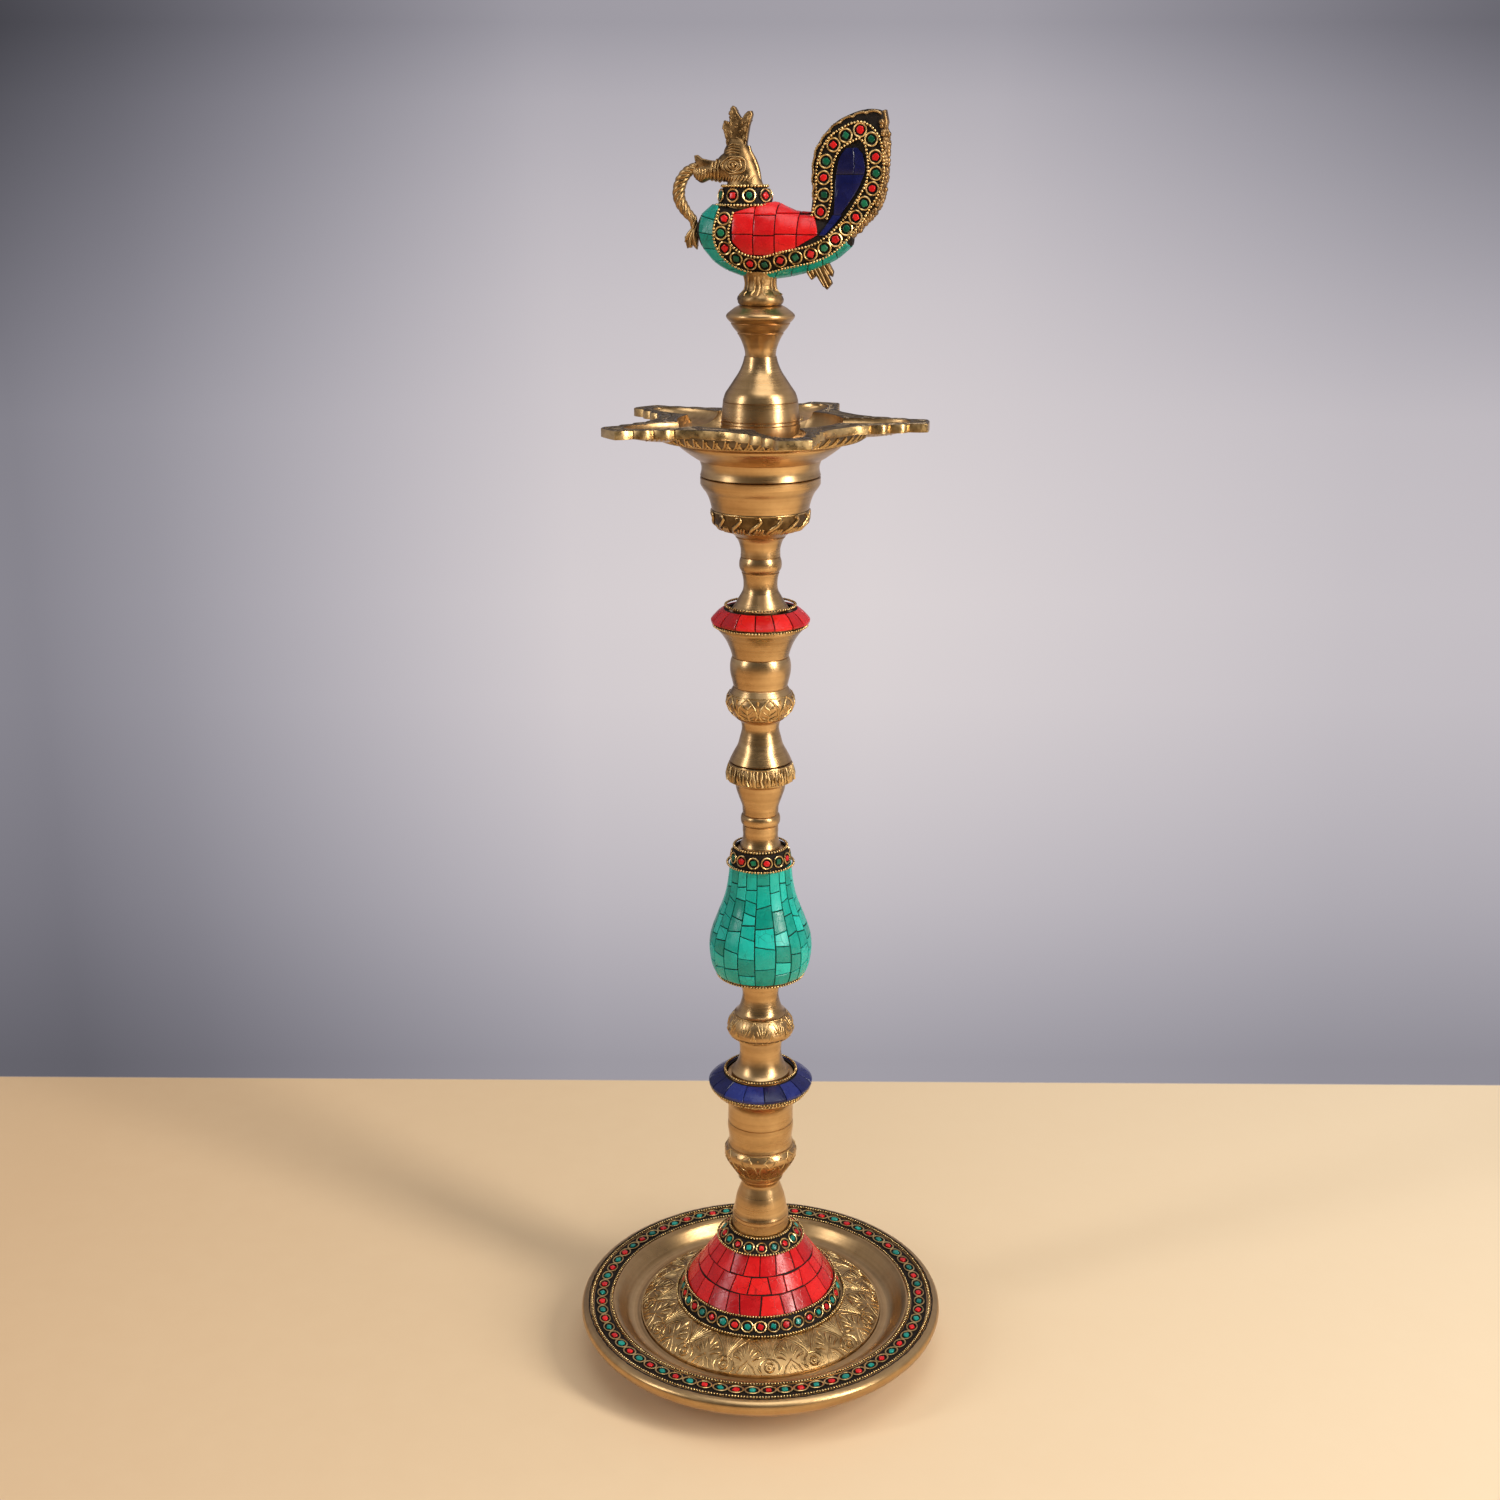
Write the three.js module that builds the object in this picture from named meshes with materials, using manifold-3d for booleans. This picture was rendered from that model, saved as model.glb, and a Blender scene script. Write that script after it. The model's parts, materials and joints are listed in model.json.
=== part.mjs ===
// Brass standing oil lamp (samai): a dish base and a stack of turned sections that screw
// into each other, with stone-inlay bands, a five-spout oil bowl and a peacock finial.
// Millimetres, +Z up, origin at the centre of the foot ring on the table.
import * as THREE from 'three';
import { mergeVertices } from 'three/addons/utils/BufferGeometryUtils.js';
import Module from 'manifold-3d';

const wasm = await Module();
wasm.setup();

// ---------------------------------------------------------------- driving dimensions

const seam = 0.3; // gap at every screwed or glued seat
const inlay = 1.5; // thickness of stone chips and their bed
const beadWire = 0.75; // radius of the beaded wire soldered along the inlay
const chord = 2; // straight pieces to one turned curve

const facets = { dish: 28, cone: 20, stem: 16, stud: 8 };

const thread = {
  radius: 4,
  grip: 8, // length of stud in each half of a joint
  bowlGrip: 4.2, // the bowl's hub is thin, so its two studs are short inside it
  chamfer: 0.7,
};

const dish = {
  footRadius: 59.2,
  footWall: 3.5,
  footHeight: 7,
  footFlare: 3,
  lipRadius: 84.8,
  lipDrop: 3.6, // from the rim down to the widest point
  rimRadius: 82,
  rimHeight: 25,
  rimLift: 4, // how full the underside is, below the rim
  bandRadius: 75.3,
  bandWidth: 7.2,
  bandDepth: 1,
  rimLand: 1,
  troughFloor: 2.9, // flat ring round the dome
  troughHeight: 18,
  ledgeDepth: 1.1, // the dome lies on a ledge just below the trough's floor
  ledgeWidth: 4.3,
  ledgeThickness: 1.7,
};

const dome = {
  radius: 56.8,
  edge: 2,
  rise: 7.6, // from the edge up to the table that carries the cone
  tableRadius: 41,
  shell: 3,
};

const cone = {
  skirtRadius: 38.6,
  skirtHeight: 7,
  tileBottomRadius: 34.6,
  tileHeight: 22.4,
  tileTopRadius: 19.2,
  crownRadius: 14.9,
  crownHeight: 4.4,
};

const baseBolt = { headRadius: 8, headHeight: 5.5, washerRadius: 11, washerThickness: 1.6, reach: 11 };

const lowerStem = {
  footRadius: 13.2,
  footHeight: 8.3,
  shoulderRadius: 12.4,
  waistRadius: 8.6,
  waistRise: 16,
  knopFootRadius: 11.3,
  knopFootRise: 6,
  knopRadius: 16.5,
  knopRise: 9,
  cupRadius: 14.4,
  cupRise: 5.5,
  bulgeRadius: 15.2,
  bulgeHeight: 9,
  cupHeight: 11,
  flareRadius: 18.9,
  flareHeight: 6.6,
};

const lapisRing = {
  flangeRadius: 21.4,
  flangeHeight: 1.8,
  radius: 23.9,
  edgeHeight: 1,
  height: 5.9,
  topRadius: 16.9,
  hubRadius: 15.2,
  hubHeight: 5,
};
const ropeTrim = 1; // radius of the twisted wire under the lapis ring

const lotusStem = {
  footRadius: 13.3,
  footHeight: 1.4,
  waistRadius: 9.4,
  waistRise: 10,
  underRadius: 10.2,
  underRise: 6,
  knopRadius: 15,
  knopRise: 4.8,
  shoulderRadius: 11.6,
  shoulderRise: 8.2,
  neckRadius: 8.1,
  neckRise: 8.8,
  topRadius: 8.8,
  topRise: 5.8,
};

const pear = {
  hubRadius: 9.6,
  underRadius: 20.2,
  underRise: 5.4,
  radius: 22.9,
  bellyRise: 12.6,
  shoulderRadius: 16.7,
  shoulderRise: 21,
  neckRadius: 13.6,
  neckRise: 17.6,
  collarTopRadius: 12.5,
  collarHeight: 6.6,
};

const neckSegment = {
  footRadius: 9,
  footHeight: 1,
  shaftRadius: 7.7,
  shaftRise: 9.7,
  beadRadius: 8.7,
  beadHeight: 5,
  collarFootRadius: 11,
  collarFootRise: 12.8,
  collarRadius: 14.6,
  collarUnderRise: 3,
  collarTopRadius: 13.5,
  collarHeight: 7.8,
};

const leafStem = {
  footRadius: 13.4,
  waistRadius: 8,
  waistRise: 16,
  knopFootRadius: 10.6,
  knopFootRise: 4.6,
  knopRadius: 14.7,
  knopRise: 7,
  cupRadius: 11.7,
  cupRise: 6.2,
  bulgeRadius: 13.2,
  bulgeHeight: 14,
  flareRadius: 18.4,
  flareHeight: 11.4,
};

const coralRing = {
  flangeRadius: 18.9,
  flangeHeight: 2.4,
  radius: 21.3,
  edgeHeight: 1,
  height: 6.6,
  topRadius: 15.6,
  hubRadius: 13.9,
  hubHeight: 5,
};

const bowlStem = {
  footRadius: 12,
  footHeight: 1,
  waistRadius: 7.3,
  waistRise: 10,
  beadRadius: 8.95,
  beadRise: 8.6,
  shaftRadius: 8.4,
  shaftRise: 5,
  underRadius: 13.4,
  underRise: 9.6,
  bandRadius: 20.3,
  bandRise: 7.6,
  cupRadius: 20.9,
  cupRise: 5,
  lipRadius: 25.1,
  lipRise: 7.4,
  lipHeight: 2.6,
};

const bowl = {
  drumRadius: 25.1,
  drumHeight: 7,
  dishFootRadius: 27.4,
  dishWaistRadius: 34.5,
  dishWaistHeight: 14.5,
  dishRadius: 46,
  dishHeight: 19.5,
  wall: 2.4,
  floorRadius: 18,
  floorHeight: 9.5,
  flangeThickness: 3.6,
  spouts: 5,
  firstSpout: -7, // degrees from +X
  spoutReach: 69,
  spoutTip: 13, // width of the blunt end
  stepLength: 7.5,
  stepDepth: 3.2,
  notchRadius: 43.5,
  channelReach: 62,
  channelWidth: 19,
  channelDepth: 8,
  keelLap: 0.5, // how far each keel reaches up into the flange
};

const vase = {
  footRadius: 15.4,
  bellyRadius: 16.7,
  bellyRise: 7,
  shoulderRadius: 15.2,
  shoulderRise: 16,
  neckRadius: 6.7,
  neckRise: 16,
  beadRadius: 8,
  beadRise: 3.4,
  ringRadius: 14,
  ringRise: 11.6,
  topRadius: 8.9,
  topRise: 5,
};

const bird = {
  turn: -15, // degrees about the lamp's axis, so the tail comes a little forward
  pedestalRadius: 9.3,
  pedestalHeight: 4.4,
  ankleRadius: 6,
  bellyLift: 9.6, // from the pedestal's seat to the lowest point of the belly
  bodyWidth: 21,
  neckLift: 29.5, // from the belly to the foot of the neck band
  neckBandHeight: 9.5,
  neckWidth: 13,
  neckLength: 16.4, // from front to back at the head end
  neckSpread: 6.4, // how much further each way it reaches at the body end
  headWidth: 9,
  tailThickness: 8.6,
  tailLength: 40,
  crestThickness: 3,
  garlandRadius: 2.3,
};

// ---------------------------------------------------------------- materials

const finish = (color, roughness, metalness) => new THREE.MeshStandardMaterial({ color, roughness, metalness });
const brass = () => finish(0xb08448, 0.34, 1);
const carvedBrass = () => finish(0xa47c42, 0.45, 1);
const steel = () => finish(0x8c8a86, 0.4, 1);
const coral = () => finish(0xd01c1c, 0.32, 0);
const turquoise = () => finish(0x0a9c8c, 0.34, 0);
const lapis = () => finish(0x1c2a86, 0.32, 0);
const stoneBand = () => finish(0x2a2018, 0.6, 0);

// ---------------------------------------------------------------- shaping helpers

const lamp = new THREE.Group();

function piece(name, geometry, material, height = 0) {
  const mesh = new THREE.Mesh(geometry, material);
  mesh.name = name;
  mesh.position.z = height;
  lamp.add(mesh);
  return mesh;
}

// A turned outline: radius across, height up, drawn as the turner cuts it.
class Outline {
  constructor(radius, height) {
    this.path = new THREE.Path();
    this.path.moveTo(radius, height);
  }

  get radius() {
    return this.path.currentPoint.x;
  }

  get height() {
    return this.path.currentPoint.y;
  }

  // straight to a radius, rising by so much
  line(radius, rise = 0) {
    this.path.lineTo(radius, this.height + rise);
    return this;
  }

  // an S that leaves and arrives along the axis
  ogee(radius, rise) {
    const middle = this.height + rise / 2;
    this.path.bezierCurveTo(this.radius, middle, radius, middle, radius, this.height + rise);
    return this;
  }

  // leaves along the axis and turns towards the radius
  flare(radius, rise) {
    this.path.quadraticCurveTo(this.radius, this.height + rise, radius, this.height + rise);
    return this;
  }

  // leaves along the radius and turns towards the axis
  tuck(radius, rise) {
    this.path.quadraticCurveTo(radius, this.height, radius, this.height + rise);
    return this;
  }

  // a rounded swelling out to a radius and back to another
  swell(widest, radius, rise) {
    const reach = 2 * widest - (this.radius + radius) / 2;
    this.path.quadraticCurveTo(reach, this.height + rise / 2, radius, this.height + rise);
    return this;
  }

  points(pieces = chord) {
    return this.path.getPoints(pieces);
  }
}

// A solid of revolution about +Z; the outline is closed if it isn't already.
function revolve(points, sides) {
  const outline = points.map((p) => new THREE.Vector2(Math.max(p.x, 0), p.y));
  const first = outline[0];
  const last = outline[outline.length - 1];
  const onAxis = first.x === 0 && last.x === 0;
  if (!onAxis && first.distanceTo(last) > 1e-6) outline.push(first.clone());
  let area = 0;
  outline.forEach((p, i) => {
    const next = outline[(i + 1) % outline.length];
    area += p.x * next.y - next.x * p.y;
  });
  if (area < 0) outline.reverse();
  const geometry = new THREE.LatheGeometry(outline, sides);
  geometry.rotateX(Math.PI / 2);
  return geometry;
}

// A turned section with a tapped socket at its foot and, if it has a head grip, at its head.
function turnedSection(outline, footGrip, headGrip = 0, sides = facets.stem) {
  const bore = thread.radius + seam;
  const side = outline.points();
  const top = outline.height;
  const points = [new THREE.Vector2(0, footGrip + seam), new THREE.Vector2(bore, footGrip + seam)];
  points.push(new THREE.Vector2(bore, 0), ...side);
  if (headGrip > 0) {
    points.push(new THREE.Vector2(bore, top), new THREE.Vector2(bore, top - headGrip - seam));
    points.push(new THREE.Vector2(0, top - headGrip - seam));
  } else {
    points.push(new THREE.Vector2(0, top));
  }
  return revolve(points, sides);
}

// The double-ended stud that joins two sections; its middle is at height 0.
function stud(lowerGrip, upperGrip) {
  const { radius, chamfer } = thread;
  const outline = new Outline(0, -lowerGrip).line(radius - chamfer).line(radius, chamfer);
  outline.line(radius, lowerGrip + upperGrip - 2 * chamfer).line(radius - chamfer, chamfer).line(0);
  return revolve(outline.points(), facets.stud);
}

// A ring of inlay between two points of the outside, as thick as the inlay, measured across.
function inlayRing(bottomRadius, bottomHeight, topRadius, topHeight, sides = facets.stem) {
  return revolve([
    new THREE.Vector2(bottomRadius - inlay, bottomHeight),
    new THREE.Vector2(bottomRadius, bottomHeight),
    new THREE.Vector2(topRadius, topHeight),
    new THREE.Vector2(topRadius - inlay, topHeight),
  ], sides);
}

// A wire bent into a ring, centred on a radius and a height.
function wireRing(radius, height, thickness, sides = facets.stem) {
  const points = [];
  for (let i = 0; i < 4; i += 1) {
    const turn = (i + 0.5) * Math.PI / 2;
    points.push(new THREE.Vector2(radius + thickness * Math.cos(turn), height + thickness * Math.sin(turn)));
  }
  return revolve(points, sides);
}

// The centre of a wire that rests on the edge of a sloping inlay.
function wireOnSlope(radius, height, slope) {
  const off = beadWire + seam;
  return [radius + off * Math.sin(slope), height + off * Math.cos(slope)];
}

// ---------------------------------------------------------------- booleans

function solid(geometry) {
  const bare = geometry.clone();
  bare.deleteAttribute('normal');
  bare.deleteAttribute('uv');
  const merged = mergeVertices(bare, 1e-4);
  const triVerts = Uint32Array.from(merged.index.array);
  const vertProperties = Float32Array.from(merged.attributes.position.array);
  return new wasm.Manifold(new wasm.Mesh({ numProp: 3, vertProperties, triVerts }));
}

function geometryOf(manifold) {
  const mesh = manifold.getMesh();
  const geometry = new THREE.BufferGeometry();
  geometry.setAttribute('position', new THREE.BufferAttribute(Float32Array.from(mesh.vertProperties), 3));
  geometry.setIndex(Array.from(mesh.triVerts));
  geometry.computeVertexNormals();
  return geometry;
}

// The biggest body that a cut leaves; the rest are chips off its edge.
function withoutChips(manifold) {
  return manifold.decompose().sort((a, b) => b.volume() - a.volume())[0];
}

const join = (...solids) => solids.reduce((whole, next) => whole.add(next));

// ---------------------------------------------------------------- base: dish, bands, cone

const underside = dish.footHeight + 2; // where the dish rests on its foot
const ledge = dish.troughHeight - dish.ledgeDepth;
const domeSeat = ledge + seam;
const tableHeight = domeSeat + dome.edge + dome.rise;

function footOutline() {
  const d = dish;
  const foot = new Outline(d.footRadius - d.footWall, 0).line(d.footRadius).line(d.footRadius, d.footHeight);
  foot.tuck(d.footRadius + d.footFlare, underside - seam - d.footHeight);
  foot.line(d.footRadius - d.footWall);
  return foot;
}

function dishOutline() {
  const d = dish;
  const pocket = d.bandWidth / 2 + 2 * beadWire + 2 * seam;
  const step = dome.radius + seam;
  const section = new Outline(d.footRadius - d.footWall, underside).line(d.footRadius + d.footFlare);
  section.path.quadraticCurveTo(
    d.rimRadius, underside + d.rimLift,
    d.lipRadius, d.rimHeight - d.lipDrop,
  );
  section.ogee(d.rimRadius, d.lipDrop);
  section.line(d.bandRadius + pocket).line(d.bandRadius + pocket, -d.bandDepth);
  section.line(d.bandRadius - pocket).line(d.bandRadius - pocket, d.bandDepth);
  section.line(d.bandRadius - pocket - d.rimLand);
  section.ogee(step + d.troughFloor, d.troughHeight - d.rimHeight);
  section.line(step).line(step, -d.ledgeDepth).line(step - d.ledgeWidth);
  section.line(step - d.ledgeWidth, -d.ledgeThickness);
  section.line(d.footRadius - d.footWall - 1);
  return section;
}

function domeOutline() {
  const d = dome;
  const bore = thread.radius + seam;
  const top = d.edge + d.rise;
  const section = new Outline(d.radius - d.shell, 0).line(d.radius).line(d.radius, d.edge);
  section.path.quadraticCurveTo(d.radius - 8, top - 1.5, d.tableRadius, top);
  section.line(bore).line(bore, -d.shell).line(d.tableRadius - d.shell);
  section.path.quadraticCurveTo(
    d.radius - d.shell - 8, top - d.shell - 1.5,
    d.radius - d.shell, 0,
  );
  return section;
}

function buildBase() {
  piece('base_foot', revolve(footOutline().points(), facets.dish), brass());
  piece('base_dish', revolve(dishOutline().points(), facets.dish), brass());
  piece('base_dome', revolve(domeOutline().points(), facets.dish), carvedBrass(), domeSeat);
  const bed = dish.rimHeight - dish.bandDepth + seam;
  const half = dish.bandWidth / 2;
  const band = new Outline(dish.bandRadius - half, bed).line(dish.bandRadius + half);
  band.line(dish.bandRadius + half, dish.bandDepth).line(dish.bandRadius - half);
  piece('rim_stone_band', revolve(band.points(), facets.dish), stoneBand());
  const off = half + seam + beadWire;
  const wireHeight = bed + beadWire;
  piece('rim_outer_bead_wire', wireRing(dish.bandRadius + off, wireHeight, beadWire, facets.dish), brass());
  piece('rim_inner_bead_wire', wireRing(dish.bandRadius - off, wireHeight, beadWire, facets.dish), brass());

  const head = new Outline(0, -baseBolt.headHeight).line(baseBolt.headRadius);
  head.line(baseBolt.headRadius, baseBolt.headHeight).line(0);
  const shankLength = baseBolt.washerThickness + 2 * seam + dome.shell + baseBolt.reach;
  const shank = new Outline(0, -1).line(thread.radius).line(thread.radius, 1 + shankLength).line(0);
  const bolt = solid(revolve(head.points(), 6)).add(solid(revolve(shank.points(), facets.stud)));
  const washerHeight = tableHeight - dome.shell - seam - baseBolt.washerThickness;
  piece('base_bolt', geometryOf(bolt), steel(), washerHeight - seam);
  const washer = new Outline(thread.radius + seam, 0).line(baseBolt.washerRadius);
  washer.line(baseBolt.washerRadius, baseBolt.washerThickness).line(thread.radius + seam);
  piece('base_washer', revolve(washer.points(), facets.stem), steel(), washerHeight);
}

const coneSeat = tableHeight + seam;
const coneHeight = 0.3 + cone.skirtHeight + seam + cone.tileHeight + seam + cone.crownHeight;

function buildCone() {
  const c = cone;
  const lip = 0.3; // the skirt band starts just above the core's foot
  const tileFoot = lip + c.skirtHeight + seam;
  const tileHead = tileFoot + c.tileHeight;
  const crownHead = tileHead + seam + c.crownHeight;
  const back = inlay + seam;
  const core = new Outline(c.skirtRadius - back, 0);
  core.line(c.skirtRadius - back, lip).line(c.tileBottomRadius - back, c.skirtHeight + seam);
  core.line(c.tileTopRadius - back, c.tileHeight).line(c.crownRadius - back, c.crownHeight + seam);
  piece('cone_core', turnedSection(core, baseBolt.reach, thread.grip, facets.cone), brass(), coneSeat);

  const skirt = inlayRing(c.skirtRadius, lip, c.tileBottomRadius, lip + c.skirtHeight, facets.cone);
  piece('cone_skirt_stone_band', skirt, stoneBand(), coneSeat);
  const tiles = inlayRing(c.tileBottomRadius, tileFoot, c.tileTopRadius, tileHead, facets.cone);
  piece('cone_coral_mosaic', tiles, coral(), coneSeat);
  const crown = inlayRing(c.tileTopRadius, tileHead + seam, c.crownRadius, crownHead, facets.cone);
  piece('cone_crown_stone_band', crown, stoneBand(), coneSeat);

  const slope = Math.atan2(c.tileHeight, c.tileBottomRadius - c.tileTopRadius);
  const foot = [c.skirtRadius + seam + beadWire, beadWire];
  const waist = wireOnSlope(c.tileBottomRadius, tileFoot, slope);
  const shoulder = wireOnSlope(c.tileTopRadius, tileHead, slope);
  const top = [lowerStem.footRadius + seam + beadWire, crownHead + seam + beadWire];
  piece('cone_foot_bead_wire', wireRing(...foot, beadWire, facets.cone), brass(), coneSeat);
  piece('cone_skirt_bead_wire', wireRing(...waist, beadWire, facets.cone), brass(), coneSeat);
  piece('cone_crown_bead_wire', wireRing(...shoulder, beadWire, facets.cone), brass(), coneSeat);
  piece('cone_top_bead_wire', wireRing(...top, beadWire, facets.cone), brass(), coneSeat);
}

// ---------------------------------------------------------------- inlaid head rings

// The head of a section: a flange that carries the stone ring, and the hub inside it.
function headForRing(outline, ring) {
  outline.line(ring.flangeRadius).line(ring.flangeRadius, ring.flangeHeight);
  outline.line(ring.hubRadius).line(ring.hubRadius, ring.hubHeight);
  return outline;
}

// The stone ring and its beaded wires, from the height of the flange's top face.
function stoneRing(name, ring, material, flangeTop) {
  const inner = ring.hubRadius + seam;
  const outline = new Outline(inner, seam).line(ring.radius - ring.edgeHeight);
  outline.line(ring.radius, ring.edgeHeight);
  outline.path.quadraticCurveTo(
    ring.radius - 1, ring.height - 1,
    ring.topRadius, ring.height,
  );
  outline.line(inner);
  piece(name, revolve(outline.points(), facets.stem), material, flangeTop);
  const top = [(inner + ring.topRadius) / 2, ring.height + seam + beadWire];
  const under = [ring.flangeRadius + seam + beadWire, -beadWire];
  piece(name + '_top_bead_wire', wireRing(...top, beadWire), brass(), flangeTop);
  piece(name + '_under_bead_wire', wireRing(...under, beadWire), brass(), flangeTop);
}

// ---------------------------------------------------------------- turned sections

function lowerStemOutline() {
  const s = lowerStem;
  const outline = new Outline(s.footRadius, 0).line(s.footRadius, s.footHeight).line(s.shoulderRadius, 1);
  outline.ogee(s.waistRadius, s.waistRise).ogee(s.knopFootRadius, s.knopFootRise);
  outline.ogee(s.knopRadius, s.knopRise).ogee(s.cupRadius, s.cupRise);
  outline.swell(s.bulgeRadius, s.cupRadius, s.bulgeHeight).line(s.cupRadius, s.cupHeight);
  outline.flare(s.flareRadius, s.flareHeight);
  return headForRing(outline, lapisRing);
}

function lotusStemOutline() {
  const s = lotusStem;
  const outline = new Outline(s.footRadius, 0).line(s.footRadius, s.footHeight);
  outline.tuck(s.waistRadius, s.waistRise).line(s.underRadius, s.underRise);
  outline.flare(s.knopRadius, s.knopRise).ogee(s.shoulderRadius, s.shoulderRise);
  outline.tuck(s.neckRadius, s.neckRise).line(s.topRadius, s.topRise);
  return outline;
}

function neckSegmentOutline() {
  const s = neckSegment;
  const outline = new Outline(s.footRadius, 0).line(s.footRadius, s.footHeight);
  outline.tuck(s.shaftRadius, s.shaftRise).swell(s.beadRadius, s.shaftRadius, s.beadHeight);
  outline.flare(s.collarFootRadius, s.collarFootRise).line(s.collarRadius, s.collarUnderRise);
  outline.line(s.collarTopRadius, s.collarHeight);
  return outline;
}

function leafStemOutline() {
  const s = leafStem;
  const outline = new Outline(s.footRadius, 0).ogee(s.waistRadius, s.waistRise);
  outline.ogee(s.knopFootRadius, s.knopFootRise).ogee(s.knopRadius, s.knopRise);
  outline.ogee(s.cupRadius, s.cupRise).swell(s.bulgeRadius, s.cupRadius, s.bulgeHeight);
  outline.flare(s.flareRadius, s.flareHeight);
  return headForRing(outline, coralRing);
}

function bowlStemOutline() {
  const s = bowlStem;
  const outline = new Outline(s.footRadius, 0).line(s.footRadius, s.footHeight);
  outline.tuck(s.waistRadius, s.waistRise).swell(s.beadRadius, s.shaftRadius, s.beadRise);
  outline.line(s.shaftRadius, s.shaftRise).flare(s.underRadius, s.underRise);
  outline.tuck(s.bandRadius, s.bandRise).line(s.cupRadius, s.cupRise);
  outline.ogee(s.lipRadius, s.lipRise).line(s.lipRadius, s.lipHeight);
  return outline;
}

function vaseOutline() {
  const s = vase;
  const outline = new Outline(s.footRadius, 0).ogee(s.bellyRadius, s.bellyRise);
  outline.ogee(s.shoulderRadius, s.shoulderRise).ogee(s.neckRadius, s.neckRise);
  outline.line(s.beadRadius, s.beadRise).flare(s.ringRadius, s.ringRise).line(s.topRadius, s.topRise);
  return outline;
}

// ---------------------------------------------------------------- pear

function buildPear(seat) {
  const p = pear;
  const back = inlay + seam;
  const skinFoot = p.underRise + seam;
  const core = new Outline(p.hubRadius - seam, 0).line(p.hubRadius - seam, back);
  core.line(p.underRadius - back, skinFoot - back);
  core.ogee(p.radius - back, p.bellyRise).ogee(p.shoulderRadius - back, p.shoulderRise);
  core.ogee(p.neckRadius - back, p.neckRise).line(p.neckRadius - back, seam);
  core.line(p.collarTopRadius - back, p.collarHeight);
  piece('pear_core', turnedSection(core, thread.grip, thread.grip), brass(), seat);

  const outside = new Outline(p.underRadius, skinFoot);
  outside.ogee(p.radius, p.bellyRise).ogee(p.shoulderRadius, p.shoulderRise).ogee(p.neckRadius, p.neckRise);
  const outer = outside.points();
  const inner = outer.map((point) => new THREE.Vector2(point.x - inlay, point.y)).reverse();
  piece('pear_turquoise_mosaic', revolve([...outer, ...inner], facets.stem), turquoise(), seat);

  const neckTop = outside.height;
  const collar = inlayRing(p.neckRadius, neckTop + seam, p.collarTopRadius, core.height);
  piece('pear_collar_stone_band', collar, stoneBand(), seat);
  const under = new Outline(p.hubRadius, 0).line(p.underRadius - back, p.underRise - back);
  under.line(p.underRadius - back, inlay).line(p.hubRadius, back - p.underRise);
  piece('pear_foot_stone_band', revolve(under.points(), facets.stem), stoneBand(), seat);

  const off = seam + beadWire;
  const foot = [p.underRadius - back + off, skinFoot - off];
  piece('pear_foot_bead_wire', wireRing(...foot, beadWire), brass(), seat);
  piece('collar_lower_bead_wire', wireRing(p.neckRadius + off, neckTop, beadWire), brass(), seat);
  const top = [p.collarTopRadius - inlay / 2, core.height + off];
  piece('collar_top_bead_wire', wireRing(...top, beadWire), brass(), seat);
  return core.height;
}

// ---------------------------------------------------------------- star bowl

// Half of one spout's edge, from the middle of a notch to the blunt tip, stepped like cut leaves.
function spoutEdge(b) {
  const half = Math.PI / b.spouts;
  const points = [new THREE.Vector2(b.notchRadius * Math.cos(half), b.notchRadius * Math.sin(half))];
  for (let step = 3; step > 0; step -= 1) {
    const x = b.spoutReach - step * b.stepLength;
    const y = b.spoutTip / 2 + step * b.stepDepth;
    points.push(new THREE.Vector2(x - b.stepDepth / 2, y), new THREE.Vector2(x, y - b.stepDepth * 0.8));
  }
  points.push(new THREE.Vector2(b.spoutReach, b.spoutTip / 2));
  return points;
}

function aroundSpouts(edge, b) {
  const points = [];
  for (let spout = 0; spout < b.spouts; spout += 1) {
    const turn = THREE.MathUtils.degToRad(b.firstSpout + spout * 360 / b.spouts);
    const whole = [...edge.map((p) => new THREE.Vector2(p.x, -p.y)), ...[...edge].reverse()];
    const centre = new THREE.Vector2(0, 0);
    whole.slice(1).forEach((p) => points.push(p.clone().rotateAround(centre, turn)));
  }
  return points;
}

// The space over the oil: a round dish with a boat-shaped channel out to every spout.
function dishSpace(b, grow) {
  const floor = b.floorHeight - grow;
  const rim = b.dishHeight + b.flangeThickness + 2;
  const round = new Outline(0, floor).line(b.floorRadius + grow);
  round.path.quadraticCurveTo(
    b.dishWaistRadius - b.wall - 3 + grow, floor + 1,
    b.dishWaistRadius - b.wall + grow, b.dishWaistHeight,
  );
  round.line(b.dishWaistRadius + grow, b.dishHeight - b.dishWaistHeight);
  round.line(round.radius, rim - round.height).line(0);
  let space = solid(revolve(round.points(), facets.stem));
  const inner = b.floorRadius;
  const length = (b.channelReach - inner) / 2;
  for (let spout = 0; spout < b.spouts; spout += 1) {
    const boat = new THREE.SphereGeometry(1, 8, 6);
    boat.scale(length + grow, b.channelWidth / 2 + grow, b.channelDepth + grow);
    boat.translate(inner + length, 0, b.dishHeight + b.flangeThickness);
    boat.rotateZ(THREE.MathUtils.degToRad(b.firstSpout + spout * 360 / b.spouts));
    space = space.add(solid(boat));
  }
  return space;
}

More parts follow.
